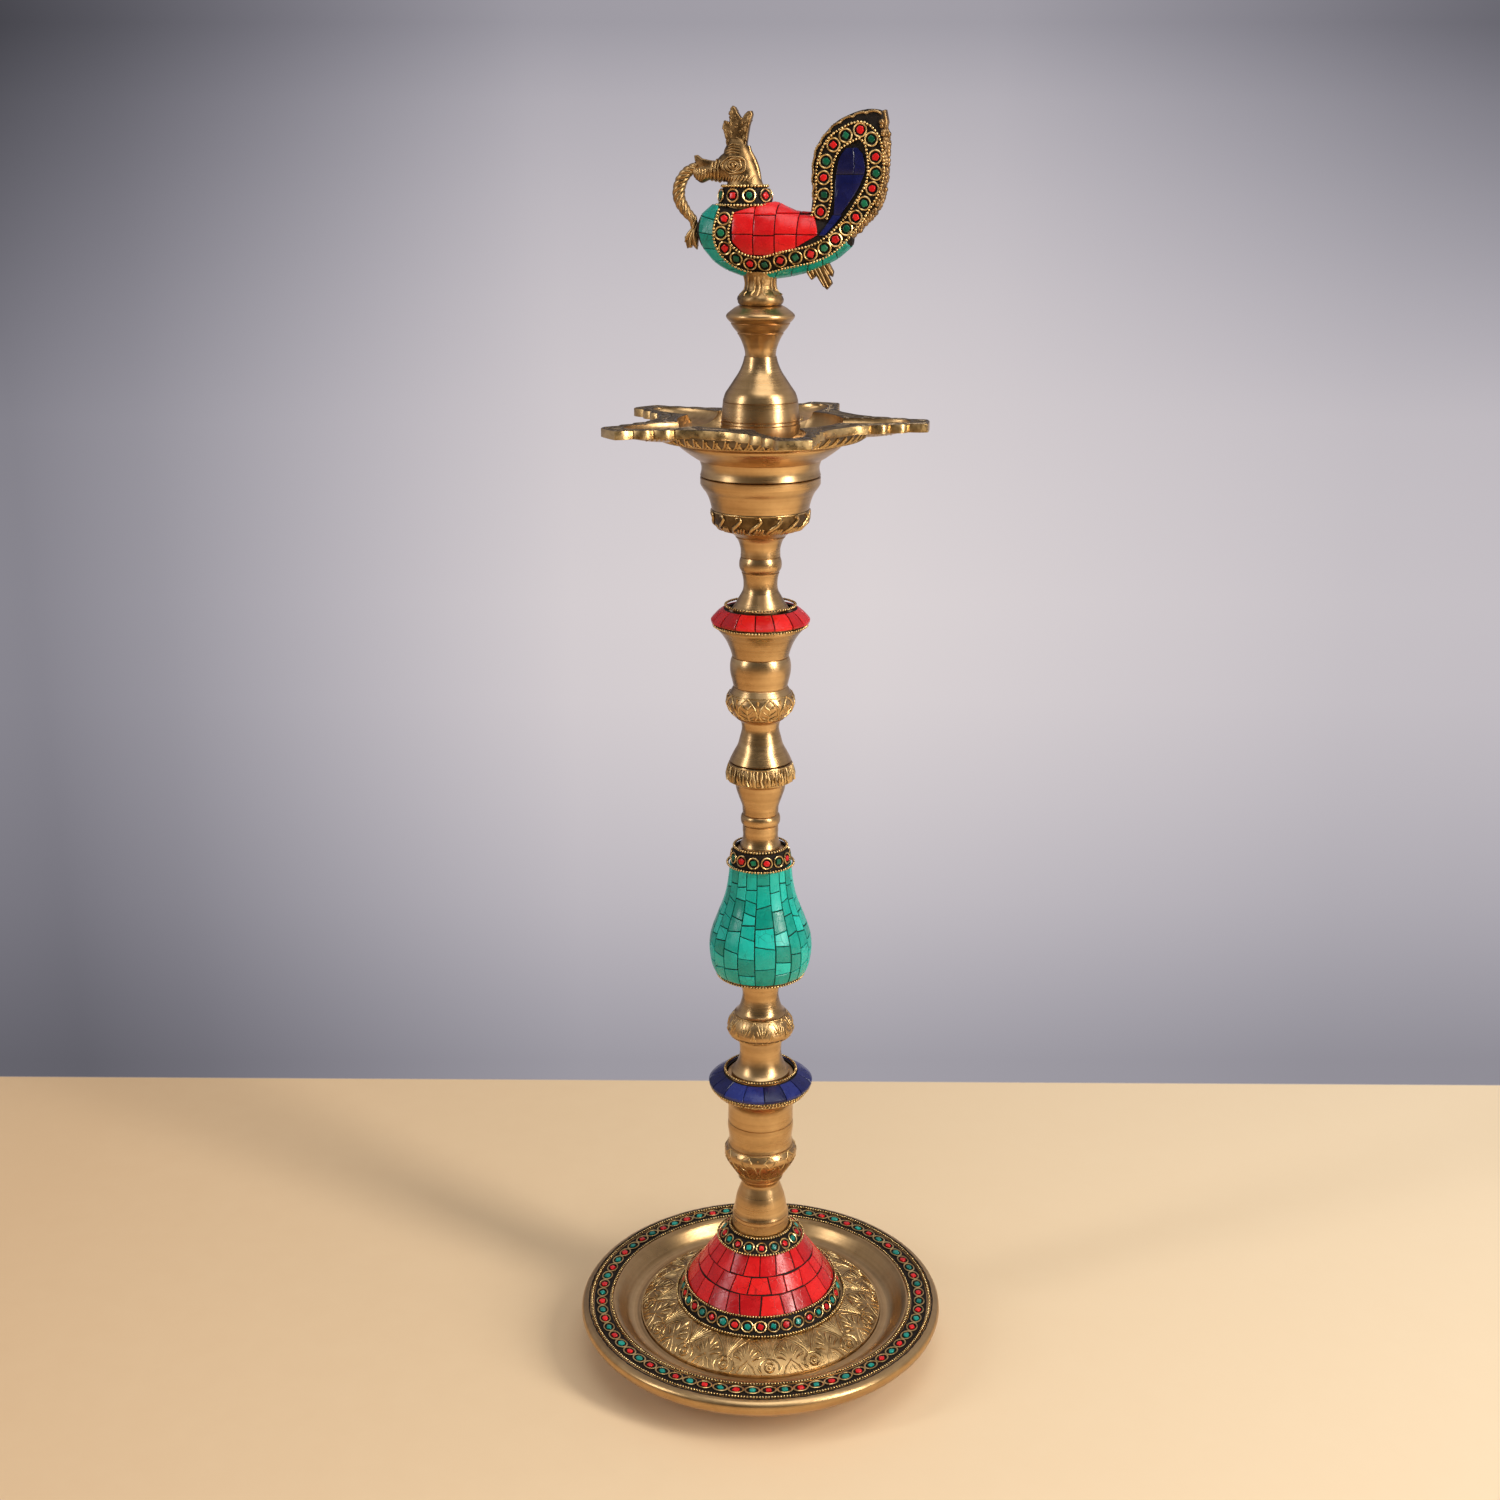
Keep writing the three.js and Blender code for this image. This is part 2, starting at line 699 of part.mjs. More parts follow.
function buildStarBowl(seat) {
  const b = bowl;
  const under = new Outline(0, 0).line(b.drumRadius).line(b.drumRadius, b.drumHeight);
  under.line(b.dishFootRadius, 1);
  under.path.quadraticCurveTo(
    b.dishWaistRadius, b.drumHeight + 2,
    b.dishWaistRadius, b.dishWaistHeight,
  );
  under.flare(b.dishRadius, b.dishHeight + 1 - b.dishWaistHeight).line(0);
  const drum = solid(revolve(under.points(), facets.cone));
  const star = new THREE.Shape(aroundSpouts(spoutEdge(b), b));
  const flange = new THREE.ExtrudeGeometry(star, { depth: b.flangeThickness, bevelEnabled: false });
  flange.translate(0, 0, b.dishHeight);
  const tall = 2 * (b.dishHeight + b.flangeThickness); // what cuts the bowl reaches past it
  const lid = new THREE.CylinderGeometry(b.spoutReach + b.wall, b.spoutReach + b.wall, tall, facets.stem);
  lid.rotateX(Math.PI / 2);
  lid.translate(0, 0, b.dishHeight + b.keelLap + tall / 2);
  const keels = dishSpace(b, b.wall).subtract(solid(lid));
  const bore = new THREE.CylinderGeometry(thread.radius + seam, thread.radius + seam, 2 * tall, facets.stem);
  bore.rotateX(Math.PI / 2);
  const whole = join(drum, solid(flange), keels).subtract(dishSpace(b, 0)).subtract(solid(bore));
  piece('star_bowl', geometryOf(whole), carvedBrass(), seat);
}

// ---------------------------------------------------------------- peacock

// The bird is drawn in its own middle plane: x from head to tail, z up, then given its width.
// Heights are measured from the lowest point of the belly.

const neckFoot = bird.neckLift - 8; // inside the body
const neckTop = bird.neckLift + bird.neckBandHeight;

function flatPiece(points, thickness) {
  const shape = new THREE.Shape(points.map(([x, z]) => new THREE.Vector2(x, z)));
  const geometry = new THREE.ExtrudeGeometry(shape, { depth: thickness, bevelEnabled: false });
  geometry.translate(0, 0, -thickness / 2);
  geometry.rotateX(Math.PI / 2);
  return geometry;
}

// A loft of ellipses across the bird: each station is [x, middle height, half height, half width].
function loft(stations, sides = 12) {
  const positions = [];
  const index = [];
  stations.forEach(([x, z, tall, wide]) => {
    for (let i = 0; i < sides; i += 1) {
      const turn = (i / sides) * 2 * Math.PI;
      positions.push(x, wide * Math.cos(turn), z + tall * Math.sin(turn));
    }
  });
  for (let ring = 0; ring + 1 < stations.length; ring += 1) {
    for (let i = 0; i < sides; i += 1) {
      const next = (i + 1) % sides;
      const a = ring * sides + i;
      const b = ring * sides + next;
      index.push(a, b, a + sides, b, b + sides, a + sides);
    }
  }
  const end = (stations.length - 1) * sides;
  for (let i = 1; i + 1 < sides; i += 1) {
    index.push(0, i + 1, i);
    index.push(end, end + i, end + i + 1);
  }
  const geometry = new THREE.BufferGeometry();
  geometry.setAttribute('position', new THREE.Float32BufferAttribute(positions, 3));
  geometry.setIndex(index);
  return geometry;
}

function upright(stations, sides) {
  // the same loft stood on end: each station is [height, middle x, half length, half width]
  const geometry = loft(stations.map(([h, x, long, wide]) => [h, -x, long, wide]), sides);
  geometry.rotateY(-Math.PI / 2);
  return geometry;
}

function bodyLoft(inset) {
  const half = bird.bodyWidth / 2 - inset;
  const station = (x, low, high, width) => [x, (low + high) / 2, (high - low) / 2 - inset, half * width];
  return solid(loft([
    station(-26 + inset, 16, 23, 0.3),
    station(-23, 10.5, 27.5, 0.72),
    station(-16, 4.2, 31, 0.95),
    station(-6, 0.6, 32, 1),
    station(5, 0, 31, 1),
    station(15, 1.6, 27, 0.9),
    station(25, 4.6, 26, 0.7),
    station(34, 9.5, 24, 0.5),
    station(38 - inset, 13, 22, 0.36),
  ]));
}

const tailOutline = [
  [22, 18], [22, 33], [21.6, 42], [22.8, 49.5], [26, 55], [31, 60], [37, 63], [43, 64.6], [50.6, 64],
  [51.4, 58], [52.4, 50], [52.2, 41], [51, 34], [50, 28], [46, 24], [40, 19], [34, 13.5],
];

const tailPanel = [
  [30.8, 25.5], [31.2, 39], [32.6, 47], [35.7, 50.6], [39.7, 50.6], [42.2, 48.5], [43.6, 42], [40.7, 35], [35.2, 27.5],
  [31.2, 22.3], [26.2, 17.6], [27, 21],
];

const flankPatch = [
  [-9.2, 26], [-0.4, 29], [6.8, 30.5], [13.9, 26.6], [21.1, 25], [24.6, 18.4], [16.5, 12.9], [8.2, 9.8], [-4, 10.2],
  [-8.9, 15],
];

// The middle of the jewelled band: down the breast, along the belly and up round the tail.
const bandRoute = new THREE.CatmullRomCurve3([
  [-12.4, 25.4], [-13.7, 18.4], [-12.2, 12.6], [-7.7, 8.4], [-2.1, 6.5], [3.9, 6.2], [16.5, 9.2], [27.8, 12.8],
  [36, 20.2], [43, 29.8], [46.8, 38], [47.4, 46], [45.5, 53.6], [41, 57], [35.3, 55], [30.5, 51.6], [27.5, 45.5],
  [26.7, 37], [25.8, 26.4],
].map(([x, z]) => new THREE.Vector3(x, z, 0)));
const bandWidth = 5.6;
const bandSteps = 17;

function ribbon(curve, halfWidth, steps) {
  const left = [];
  const right = [];
  for (let i = 0; i <= steps; i += 1) {
    const point = curve.getPointAt(i / steps);
    const along = curve.getTangentAt(i / steps);
    left.push([point.x - along.y * halfWidth, point.y + along.x * halfWidth]);
    right.push([point.x + along.y * halfWidth, point.y - along.x * halfWidth]);
  }
  return [...left, ...right.reverse()];
}

// The field that the band encloses, with the back of the bird above it.
function ribbonInside(curve, steps) {
  const points = [];
  for (let i = 0; i <= steps; i += 1) {
    const point = curve.getPointAt(i / steps);
    points.push([point.x, point.y]);
  }
  return [...points, [20, 40], [-12, 40]];
}

const past = 200; // the side of a block that reaches past the whole bird
const bellyEnd = 36; // behind this the tail has no turquoise
const halvesGap = 0.2; // between the left and the right skins along the bird's back

function behindBelly() {
  const block = new THREE.BoxGeometry(past, past, past);
  block.translate(bellyEnd + past / 2, 0, 0);
  return solid(block);
}

function sideBlock(side) {
  const block = new THREE.BoxGeometry(past, past, past);
  block.translate(0, side * (past + halvesGap) / 2, 0);
  return solid(block);
}

function headParts() {
  const wide = bird.headWidth / 2;
  const neck = solid(upright([
    [neckTop - 2, -6.4, 7, 5.4], [neckTop + 4, -8, 6.8, 4.8], [neckTop + 10, -9.4, 5.6, 4.2],
    [neckTop + 15, -9.4, 3.4, 2.6],
  ], 10));
  const head = new THREE.SphereGeometry(1, 10, 6);
  head.scale(7.4, wide, 6.2);
  head.translate(-11, 0, 43.6);
  const beak = solid(loft([
    [-27.4, 41.8, 2.4, 2], [-24.4, 40.8, 3.7, 2.6], [-20, 42, 3.4, 2.8], [-14, 42.8, 5.2, 3.8], [-11, 43.2, 5.6, 4],
  ], 8));
  const prong = flatPiece([[-25.8, 44], [-27, 48], [-25, 47.4], [-20, 44]], 2.6);
  const crest = flatPiece([
    [-12.6, 50], [-14, 54], [-15.2, 59.4], [-12.6, 57.6], [-12.8, 61], [-11.8, 66.4], [-10, 65], [-7.6, 60.6],
    [-5.4, 63.6], [-3.2, 64], [-5, 58], [-6, 54], [-5.6, 50],
  ], bird.crestThickness);
  return join(neck, solid(head), beak, solid(prong), solid(crest));
}

function garlandParts() {
  const route = new THREE.CatmullRomCurve3([
    [-26.6, 43.2], [-31, 41], [-34, 36.6], [-34.4, 31.6], [-31.6, 26], [-27.8, 22.6], [-27.6, 18],
  ].map(([x, z]) => new THREE.Vector3(x, 0, z)));
  const section = new THREE.Shape();
  section.absarc(0, 0, bird.garlandRadius, 0, 2 * Math.PI, false);
  const rope = new THREE.ExtrudeGeometry(section, { steps: 9, extrudePath: route, curveSegments: 3 });
  const tassel = flatPiece([[-29, 19], [-31.6, 16.4], [-30.6, 12], [-28.2, 13.4], [-26.4, 11.6], [-25.6, 18]], 3);
  return solid(rope).add(solid(tassel));
}

const fanOutline = [[17, 6], [28, 8], [30.4, -1], [27.6, -3.6], [25, 0.6], [20.6, 0.2]];

function pedestalSolid(grow) {
  const foot = new Outline(bird.pedestalRadius - 1, 0).line(bird.pedestalRadius, 1);
  foot.line(bird.pedestalRadius, bird.pedestalHeight - 2).line(bird.pedestalRadius - 1.4, 1);
  foot.tuck(bird.ankleRadius + grow, 3).line(bird.ankleRadius + grow, bird.bellyLift - foot.height + 4);
  return solid(turnedSection(foot, thread.grip)).translate([0, 0, -bird.bellyLift]);
}

// The neck under its band: a leaning oval that narrows from the body to the head.
function neckOval(grow, foot, top) {
  const station = (height) => {
    const left = (neckTop - height) / (neckTop - neckFoot);
    const long = bird.neckLength / 2 + bird.neckSpread * left;
    return [height, 0.8 * left - 6.6, long + grow, bird.neckWidth / 2 + left + grow];
  };
  return solid(upright([station(foot), station(top)], 12));
}

function buildPeacock(seat) {
  const thick = bird.tailThickness;
  const tail = (thickness) => solid(flatPiece(tailOutline, thickness));
  const full = bodyLoft(0).add(tail(thick));
  const core = bodyLoft(inlay).add(tail(thick - 2 * inlay));
  const bed = bodyLoft(inlay - seam).add(tail(thick - 2 * inlay + 2 * seam));
  const fan = solid(flatPiece(fanOutline, 3));
  const trims = join(headParts(), garlandParts(), fan);
  const casting = join(core, neckOval(-inlay, neckFoot, neckTop - 1), trims, pedestalSolid(0));

  const flat = (points) => solid(flatPiece(points, past));
  const bandPlace = flat(ribbon(bandRoute, bandWidth / 2, bandSteps));
  const bandRoom = flat(ribbon(bandRoute, bandWidth / 2 + seam, bandSteps));
  const flankPlace = flat(flankPatch);
  const panelPlace = flat(tailPanel);
  const inside = flat(ribbonInside(bandRoute, bandSteps));
  const skin = full.subtract(join(bed, trims, pedestalSolid(seam), neckOval(seam, neckFoot, neckTop)));

  const set = (name, manifold, material) => {
    const geometry = geometryOf(withoutChips(manifold).translate([0, 0, bird.bellyLift]));
    geometry.rotateZ(THREE.MathUtils.degToRad(bird.turn));
    piece(name, geometry, material, seat);
  };
  set('peacock_casting', casting, carvedBrass());
  const neckRing = neckOval(0, bird.neckLift - 4, neckTop - 2.4);
  const neckHole = neckOval(seam - inlay, neckFoot - 2, neckTop);
  set('peacock_neck_band', neckRing.subtract(join(neckHole, bodyLoft(-seam), trims)), stoneBand());
  set('peacock_breast_mosaic', skin.subtract(join(bandRoom, inside, behindBelly())), turquoise());
  for (const [label, side] of [['left', -1], ['right', 1]]) {
    const half = skin.intersect(sideBlock(side));
    set(`peacock_${label}_cell_band`, half.intersect(bandPlace), stoneBand());
    set(`peacock_${label}_flank_mosaic`, half.intersect(flankPlace).subtract(bandRoom), coral());
    set(`peacock_${label}_tail_panel`, half.intersect(panelPlace).subtract(bandRoom), lapis());
  }
}

// ---------------------------------------------------------------- the stack

function buildLamp() {
  buildBase();
  buildCone();
  const { grip, bowlGrip } = thread;
  let seat = coneSeat + coneHeight;

  const joinHere = (name, lower, upper) => {
    piece(name, stud(lower - seam, upper - seam), brass(), seat);
    seat += seam;
  };
  const add = (name, outline, footGrip, headGrip) => {
    piece(name, turnedSection(outline, footGrip, headGrip), brass(), seat);
    return outline.height;
  };

  joinHere('lower_stem_stud', grip, grip);
  const lower = add('lower_stem', lowerStemOutline(), grip, grip);
  const lapisFlange = seat + lower - lapisRing.hubHeight;
  stoneRing('lapis_ring', lapisRing, lapis(), lapisFlange);
  const ropeHeight = lapisFlange - lapisRing.flangeHeight - seam - ropeTrim;
  piece('rope_trim', wireRing(lowerStem.flareRadius + seam + ropeTrim, ropeHeight, ropeTrim), carvedBrass());
  seat += lower;

  joinHere('lotus_stem_stud', grip, grip);
  seat += add('lotus_stem', lotusStemOutline(), grip, grip);
  joinHere('pear_stud', grip, grip);
  seat += buildPear(seat);
  joinHere('neck_segment_stud', grip, grip);
  seat += add('neck_segment', neckSegmentOutline(), grip, grip);
  joinHere('leaf_stem_stud', grip, grip);
  const leaf = add('leaf_stem', leafStemOutline(), grip, grip);
  stoneRing('coral_ring', coralRing, coral(), seat + leaf - coralRing.hubHeight);
  seat += leaf;

  joinHere('bowl_stem_stud', grip, grip);
  seat += add('bowl_stem', bowlStemOutline(), grip, grip);
  joinHere('star_bowl_stud', grip, bowlGrip);
  buildStarBowl(seat);
  seat += bowl.floorHeight;
  joinHere('vase_stud', bowlGrip, grip);
  seat += add('finial_vase', vaseOutline(), grip, grip);
  joinHere('peacock_stud', grip, grip);
  buildPeacock(seat);
}

buildLamp();

export default lamp;
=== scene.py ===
"""Brass standing oil lamp: turned and chased brass, stone inlay, beaded wire and a peacock finial."""
import json
import random
from math import cos, pi, radians, sin, sqrt

import bmesh
import bpy
from mathutils import Matrix, Vector
from mathutils.bvhtree import BVHTree

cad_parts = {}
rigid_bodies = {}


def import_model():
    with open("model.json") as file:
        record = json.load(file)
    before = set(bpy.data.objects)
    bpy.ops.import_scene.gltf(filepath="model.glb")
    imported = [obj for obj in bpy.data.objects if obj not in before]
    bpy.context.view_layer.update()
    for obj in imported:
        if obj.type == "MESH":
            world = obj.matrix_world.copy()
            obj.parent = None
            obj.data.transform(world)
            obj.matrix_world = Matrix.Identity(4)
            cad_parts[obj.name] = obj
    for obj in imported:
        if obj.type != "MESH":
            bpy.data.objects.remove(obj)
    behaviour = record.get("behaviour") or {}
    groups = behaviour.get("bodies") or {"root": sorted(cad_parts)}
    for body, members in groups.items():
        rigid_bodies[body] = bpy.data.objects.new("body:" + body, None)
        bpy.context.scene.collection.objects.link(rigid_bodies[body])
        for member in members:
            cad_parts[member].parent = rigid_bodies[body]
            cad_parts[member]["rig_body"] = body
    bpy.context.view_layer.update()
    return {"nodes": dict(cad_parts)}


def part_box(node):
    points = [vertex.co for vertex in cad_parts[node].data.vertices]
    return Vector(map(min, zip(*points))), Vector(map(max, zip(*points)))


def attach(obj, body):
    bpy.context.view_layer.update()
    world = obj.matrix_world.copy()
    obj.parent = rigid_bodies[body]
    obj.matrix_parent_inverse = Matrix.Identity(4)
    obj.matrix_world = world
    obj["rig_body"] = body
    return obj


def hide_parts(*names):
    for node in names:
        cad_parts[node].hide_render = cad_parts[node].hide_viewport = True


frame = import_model()

MM = 0.001
TURN = 2 * pi
FRONT = -pi / 2  # the turn at which a place faces the front
chance = random.Random(11)


# -------------------- finishes

class Finish:
    """A material being made: it adds nodes and links them."""

    def __init__(self, name, roughness, metallic=0):
        self.material = bpy.data.materials.new(name)
        self.material.use_nodes = True
        self.tree = self.material.node_tree
        self.shader = self.tree.nodes["Principled BSDF"]
        self.shader.inputs["Roughness"].default_value = roughness
        self.shader.inputs["Metallic"].default_value = metallic
        self.place = self.tree.nodes.new("ShaderNodeTexCoord").outputs["Object"]

    def node(self, kind, inputs, **settings):
        node = self.tree.nodes.new(kind)
        for key, value in settings.items():
            setattr(node, key, value)
        for key, value in inputs.items():
            if isinstance(value, bpy.types.NodeSocket):
                self.tree.links.new(value, node.inputs[key])
            else:
                node.inputs[key].default_value = value
        return node

    def math(self, operation, first, second=0, third=0):
        inputs = {0: first, 1: second, 2: third}
        return self.node("ShaderNodeMath", inputs, operation=operation).outputs[0]

    def noise(self, place, scale, detail=3, roughness=0.55):
        inputs = {"Vector": place, "Scale": scale, "Detail": detail, "Roughness": roughness}
        return self.node("ShaderNodeTexNoise", inputs).outputs["Fac"]

    def cells(self, place, scale, feature="F1"):
        inputs = {"Vector": place, "Scale": scale}
        return self.node("ShaderNodeTexVoronoi", inputs, feature=feature).outputs["Distance"]

    def spread(self, value, low, high, to_low, to_high):
        inputs = {"Value": value, 1: low, 2: high, 3: to_low, 4: to_high}
        return self.node("ShaderNodeMapRange", inputs).outputs[0]

    def ramp(self, value, stops):
        """Colours by value. A stop is a value from nought to one and its colour."""
        node = self.node("ShaderNodeValToRGB", {"Fac": value})
        band = node.color_ramp
        band.elements[0].position, band.elements[0].color = stops[0][0], (*stops[0][1], 1)
        band.elements[1].position, band.elements[1].color = stops[-1][0], (*stops[-1][1], 1)
        for position, colour in stops[1:-1]:
            band.elements.new(position).color = (*colour, 1)
        return node.outputs["Color"]

    def blend(self, share, first, second):
        """A mix of two colours, each a socket or its three values."""
        ends = [end if isinstance(end, bpy.types.NodeSocket) else (*end, 1) for end in (first, second)]
        return self.node("ShaderNodeMix", {0: share, 6: ends[0], 7: ends[1]}, data_type="RGBA").outputs[2]

    def around(self):
        """Distance from the lamp's axis and height, so that a pattern runs in rings as a lathe leaves it."""
        parts = self.node("ShaderNodeSeparateXYZ", {0: self.place}).outputs
        square = self.math("MULTIPLY_ADD", parts[0], parts[0], self.math("MULTIPLY", parts[1], parts[1]))
        across = self.math("SQRT", square)
        return self.node("ShaderNodeCombineXYZ", {0: across, 2: parts[2]}).outputs[0]

    def seen(self):
        """One on the rays that show the surroundings: straight to the camera, in metal or through glass."""
        rays = self.node("ShaderNodeLightPath", {}).outputs
        straight_or_in_metal = self.math("MAXIMUM", rays["Is Camera Ray"], rays["Is Glossy Ray"])
        return self.math("MAXIMUM", straight_or_in_metal, rays["Is Transmission Ray"])

    def colour(self, socket):
        self.tree.links.new(socket, self.shader.inputs["Base Color"])

    def roughness(self, socket):
        self.tree.links.new(socket, self.shader.inputs["Roughness"])

    def relief(self, height, distance, strength=1):
        inputs = {"Height": height, "Distance": distance, "Strength": strength}
        bump = self.node("ShaderNodeBump", inputs)
        self.tree.links.new(bump.outputs["Normal"], self.shader.inputs["Normal"])


def turned_brass(name, dark, mid, light, shine):
    """Satin brass: rings from the lathe tool, a little tarnish in clouds."""
    finish = Finish(name, shine, 1)
    rings = finish.around()
    broad = finish.noise(rings, 420, 3)
    fine = finish.noise(rings, 2200, 4, 0.7)
    cloud = finish.noise(finish.place, 38, 6, 0.6)
    mottle = finish.noise(finish.place, 320, 4, 0.6)
    tone = finish.math("MULTIPLY_ADD", broad, 0.45, finish.math("MULTIPLY", cloud, 0.4))
    tone = finish.math("MULTIPLY_ADD", mottle, 0.15, tone)
    finish.colour(finish.ramp(tone, [(0.34, dark), (0.5, mid), (0.66, light)]))
    dull = finish.math("MULTIPLY_ADD", cloud, 0.6, finish.math("MULTIPLY", fine, 0.4))
    finish.roughness(finish.spread(dull, 0.3, 0.7, shine - 0.08, shine + 0.12))
    finish.relief(finish.math("MULTIPLY_ADD", broad, 0.6, fine), 0.00009, 0.35)
    return finish.material


def chased_brass(name, dark, mid, light, shine=0.36):
    """Brass that was cast or chased by hand: pits, hammer marks and dark grime."""
    finish = Finish(name, shine, 1)
    grime = finish.noise(finish.place, 260, 5, 0.65)
    dents = finish.noise(finish.place, 900, 3)
    cloud = finish.noise(finish.place, 60, 5, 0.6)
    tone = finish.math("MULTIPLY_ADD", grime, 0.6, finish.math("MULTIPLY", cloud, 0.4))
    finish.colour(finish.ramp(tone, [(0.36, dark), (0.5, mid), (0.64, light)]))
    finish.roughness(finish.spread(grime, 0.3, 0.7, shine - 0.1, shine + 0.16))
    finish.relief(dents, 0.00012, 0.4)
    return finish.material


def polished_stone(name, deep, mid, pale, joint, shine=0.2, cracks=0.75, specks=0.12):
    """A stone chip: each chip has its own tint, with clouds, specks and hairline cracks."""
    finish = Finish(name, shine)
    tint = finish.node("ShaderNodeAttribute", {}, attribute_name="tint").outputs["Fac"]
    cloud = finish.noise(finish.place, 190, 5, 0.6)
    tone = finish.math("MULTIPLY_ADD", tint, 0.6, finish.math("MULTIPLY", cloud, 0.4))
    colour = finish.ramp(tone, [(0.22, deep), (0.5, mid), (0.78, pale)])
    crack = finish.cells(finish.place, 240, "DISTANCE_TO_EDGE")
    hairline = finish.spread(crack, 0, 0.035, cracks, 0)
    patches = finish.spread(finish.noise(finish.place, 90, 3), 0.5, 0.62, 0, 1)
    colour = finish.blend(finish.math("MULTIPLY", hairline, patches), colour, joint)
    flecks = finish.spread(finish.cells(finish.place, 900), 0, 0.16, specks, 0)
    finish.colour(finish.blend(flecks, colour, pale))
    finish.roughness(finish.spread(cloud, 0.3, 0.7, shine - 0.06, shine + 0.14))
    finish.relief(finish.math("MULTIPLY_ADD", hairline, -0.6, cloud), 0.00015, 0.4)
    finish.shader.inputs["Specular IOR Level"].default_value = 0.45
    return finish.material


def setting_bed(name, dark, pale):
    """The dark lac that the stones and wire cells are set in."""
    finish = Finish(name, 0.7)
    grain = finish.noise(finish.place, 700, 5, 0.7)
    finish.colour(finish.ramp(grain, [(0.35, dark), (0.7, pale)]))
    finish.roughness(finish.spread(grain, 0.3, 0.7, 0.5, 0.85))
    finish.relief(grain, 0.0003, 0.7)
    finish.shader.inputs["Specular IOR Level"].default_value = 0.22
    return finish.material


satin = turned_brass("satin_turned_brass",
                     (0.4, 0.24, 0.1), (0.57, 0.36, 0.165), (0.7, 0.475, 0.235), 0.28)
dish_satin = turned_brass("dish_brass",
                          (0.36, 0.215, 0.09), (0.52, 0.33, 0.15), (0.65, 0.44, 0.215), 0.31)
aged = turned_brass("antique_flange_brass",
                    (0.09, 0.066, 0.042), (0.17, 0.125, 0.08), (0.28, 0.21, 0.135), 0.4)
chased = chased_brass("chased_brass",
                      (0.25, 0.145, 0.055), (0.47, 0.295, 0.125), (0.63, 0.42, 0.19))
# The dark lines beside chased ridges: partly patina, partly painted shade in the grooves.
patina_and_painted_shade = chased_brass("brass_patina_and_painted_shade_in_the_cuts",
                      (0.03, 0.018, 0.008), (0.075, 0.043, 0.018), (0.16, 0.095, 0.04), 0.5)
# Brown ground between chased leaves on a turned section: partly patina, partly painted shade.
umber = chased_brass("brass_brown_patina_and_painted_shade",
                     (0.07, 0.04, 0.016), (0.15, 0.088, 0.034), (0.26, 0.16, 0.065), 0.45)
rubbed = chased_brass("brass_rubbed_bright",
                      (0.44, 0.275, 0.11), (0.62, 0.41, 0.175), (0.76, 0.54, 0.26), 0.29)
bright = chased_brass("bright_bead_brass",
                      (0.5, 0.32, 0.12), (0.72, 0.49, 0.2), (0.86, 0.64, 0.31), 0.25)
antique = chased_brass("antique_cast_brass",
                       (0.085, 0.05, 0.021), (0.3, 0.18, 0.075), (0.52, 0.33, 0.145), 0.38)
steel = chased_brass("zinc_plated_steel",
                     (0.22, 0.22, 0.21), (0.4, 0.4, 0.385), (0.55, 0.55, 0.53))
red_stone = polished_stone("red_stone", (0.4, 0.003, 0.006), (0.62, 0.006, 0.008), (0.78, 0.014, 0.012),
                           (0.06, 0.003, 0.003), 0.22, 0.6)
green_stone = polished_stone("dark_green_stone", (0, 0.035, 0.018), (0.002, 0.1, 0.045), (0.01, 0.19, 0.085),
                             (0, 0.012, 0.008))
teal_stone = polished_stone("sea_green_stone", (0, 0.12, 0.095), (0.003, 0.235, 0.185), (0.012, 0.36, 0.29),
                            (0, 0.02, 0.018))
blue_stone = polished_stone("dark_blue_stone", (0.002, 0.003, 0.045), (0.007, 0.011, 0.11),
                            (0.016, 0.028, 0.19), (0.002, 0.003, 0.02), 0.22, 0.6, 0.06)
turquoise = polished_stone("turquoise_stone", (0, 0.25, 0.19), (0.002, 0.4, 0.32), (0.012, 0.51, 0.42),
                           (0, 0.05, 0.045), 0.24)
lac = setting_bed("dark_lac", (0.003, 0.002, 0.0015), (0.02, 0.012, 0.007))


# -------------------- making pieces

class Outline:
    """A turned outline in millimetres: radius across, height up."""

    def __init__(self, radius, height=0):
        self.points = [(radius, height)]

    def line(self, radius, rise=0):
        """A straight line to a radius, and up by a rise."""
        self.points.append((radius, self.points[-1][1] + rise))
        return self

    def through(self, places, steps=5):
        """A smooth curve through places, each a radius and a height above the foot."""
        known = [self.points[-1], *places]
        known = [known[0], *known, known[-1]]
        for before, start, end, after in zip(known, known[1:], known[2:], known[3:]):
            for step in range(1, steps + 1):
                self.points.append(smooth_step(before, start, end, after, step / steps))
        return self

    def groove(self, width=0.5, depth=0.3):
        """A fine line that the turner cuts with the corner of the tool."""
        radius, height = self.points[-1]
        self.points += [(radius - depth, height + width * 0.35), (radius - depth, height + width * 0.65),
                        (radius, height + width)]
        return self

    def bead(self, bulge, rise):
        """A half-round that comes back to the same radius."""
        radius, height = self.points[-1]
        for step in range(1, 9):
            angle = pi * step / 8
            self.points.append((radius + bulge * sin(angle), height + rise * (1 - cos(angle)) / 2))
        return self


def smooth_step(before, start, end, after, t):
    """A place at t on the smooth curve from start to end, which also heeds the places before and after."""
    mixed = []
    for a, b, c, d in zip(before, start, end, after):
        mixed.append(0.5 * (2 * b + (c - a) * t + (2 * a - 5 * b + 4 * c - d) * t * t
                            + (3 * b - a - 3 * c + d) * t * t * t))
    return tuple(mixed)


def smooth_path(places, steps=6, closed=False):
    """Points along a smooth curve through places of any number of coordinates."""
    places = [tuple(place) for place in places]
    ends = [places[-1], *places, places[0], places[1]] if closed else [places[0], *places, places[-1]]
    path = []
    for before, start, end, after in zip(ends, ends[1:], ends[2:], ends[3:]):
        path += [smooth_step(before, start, end, after, step / steps) for step in range(steps)]
    if not closed:
        path.append(places[-1])
    return path


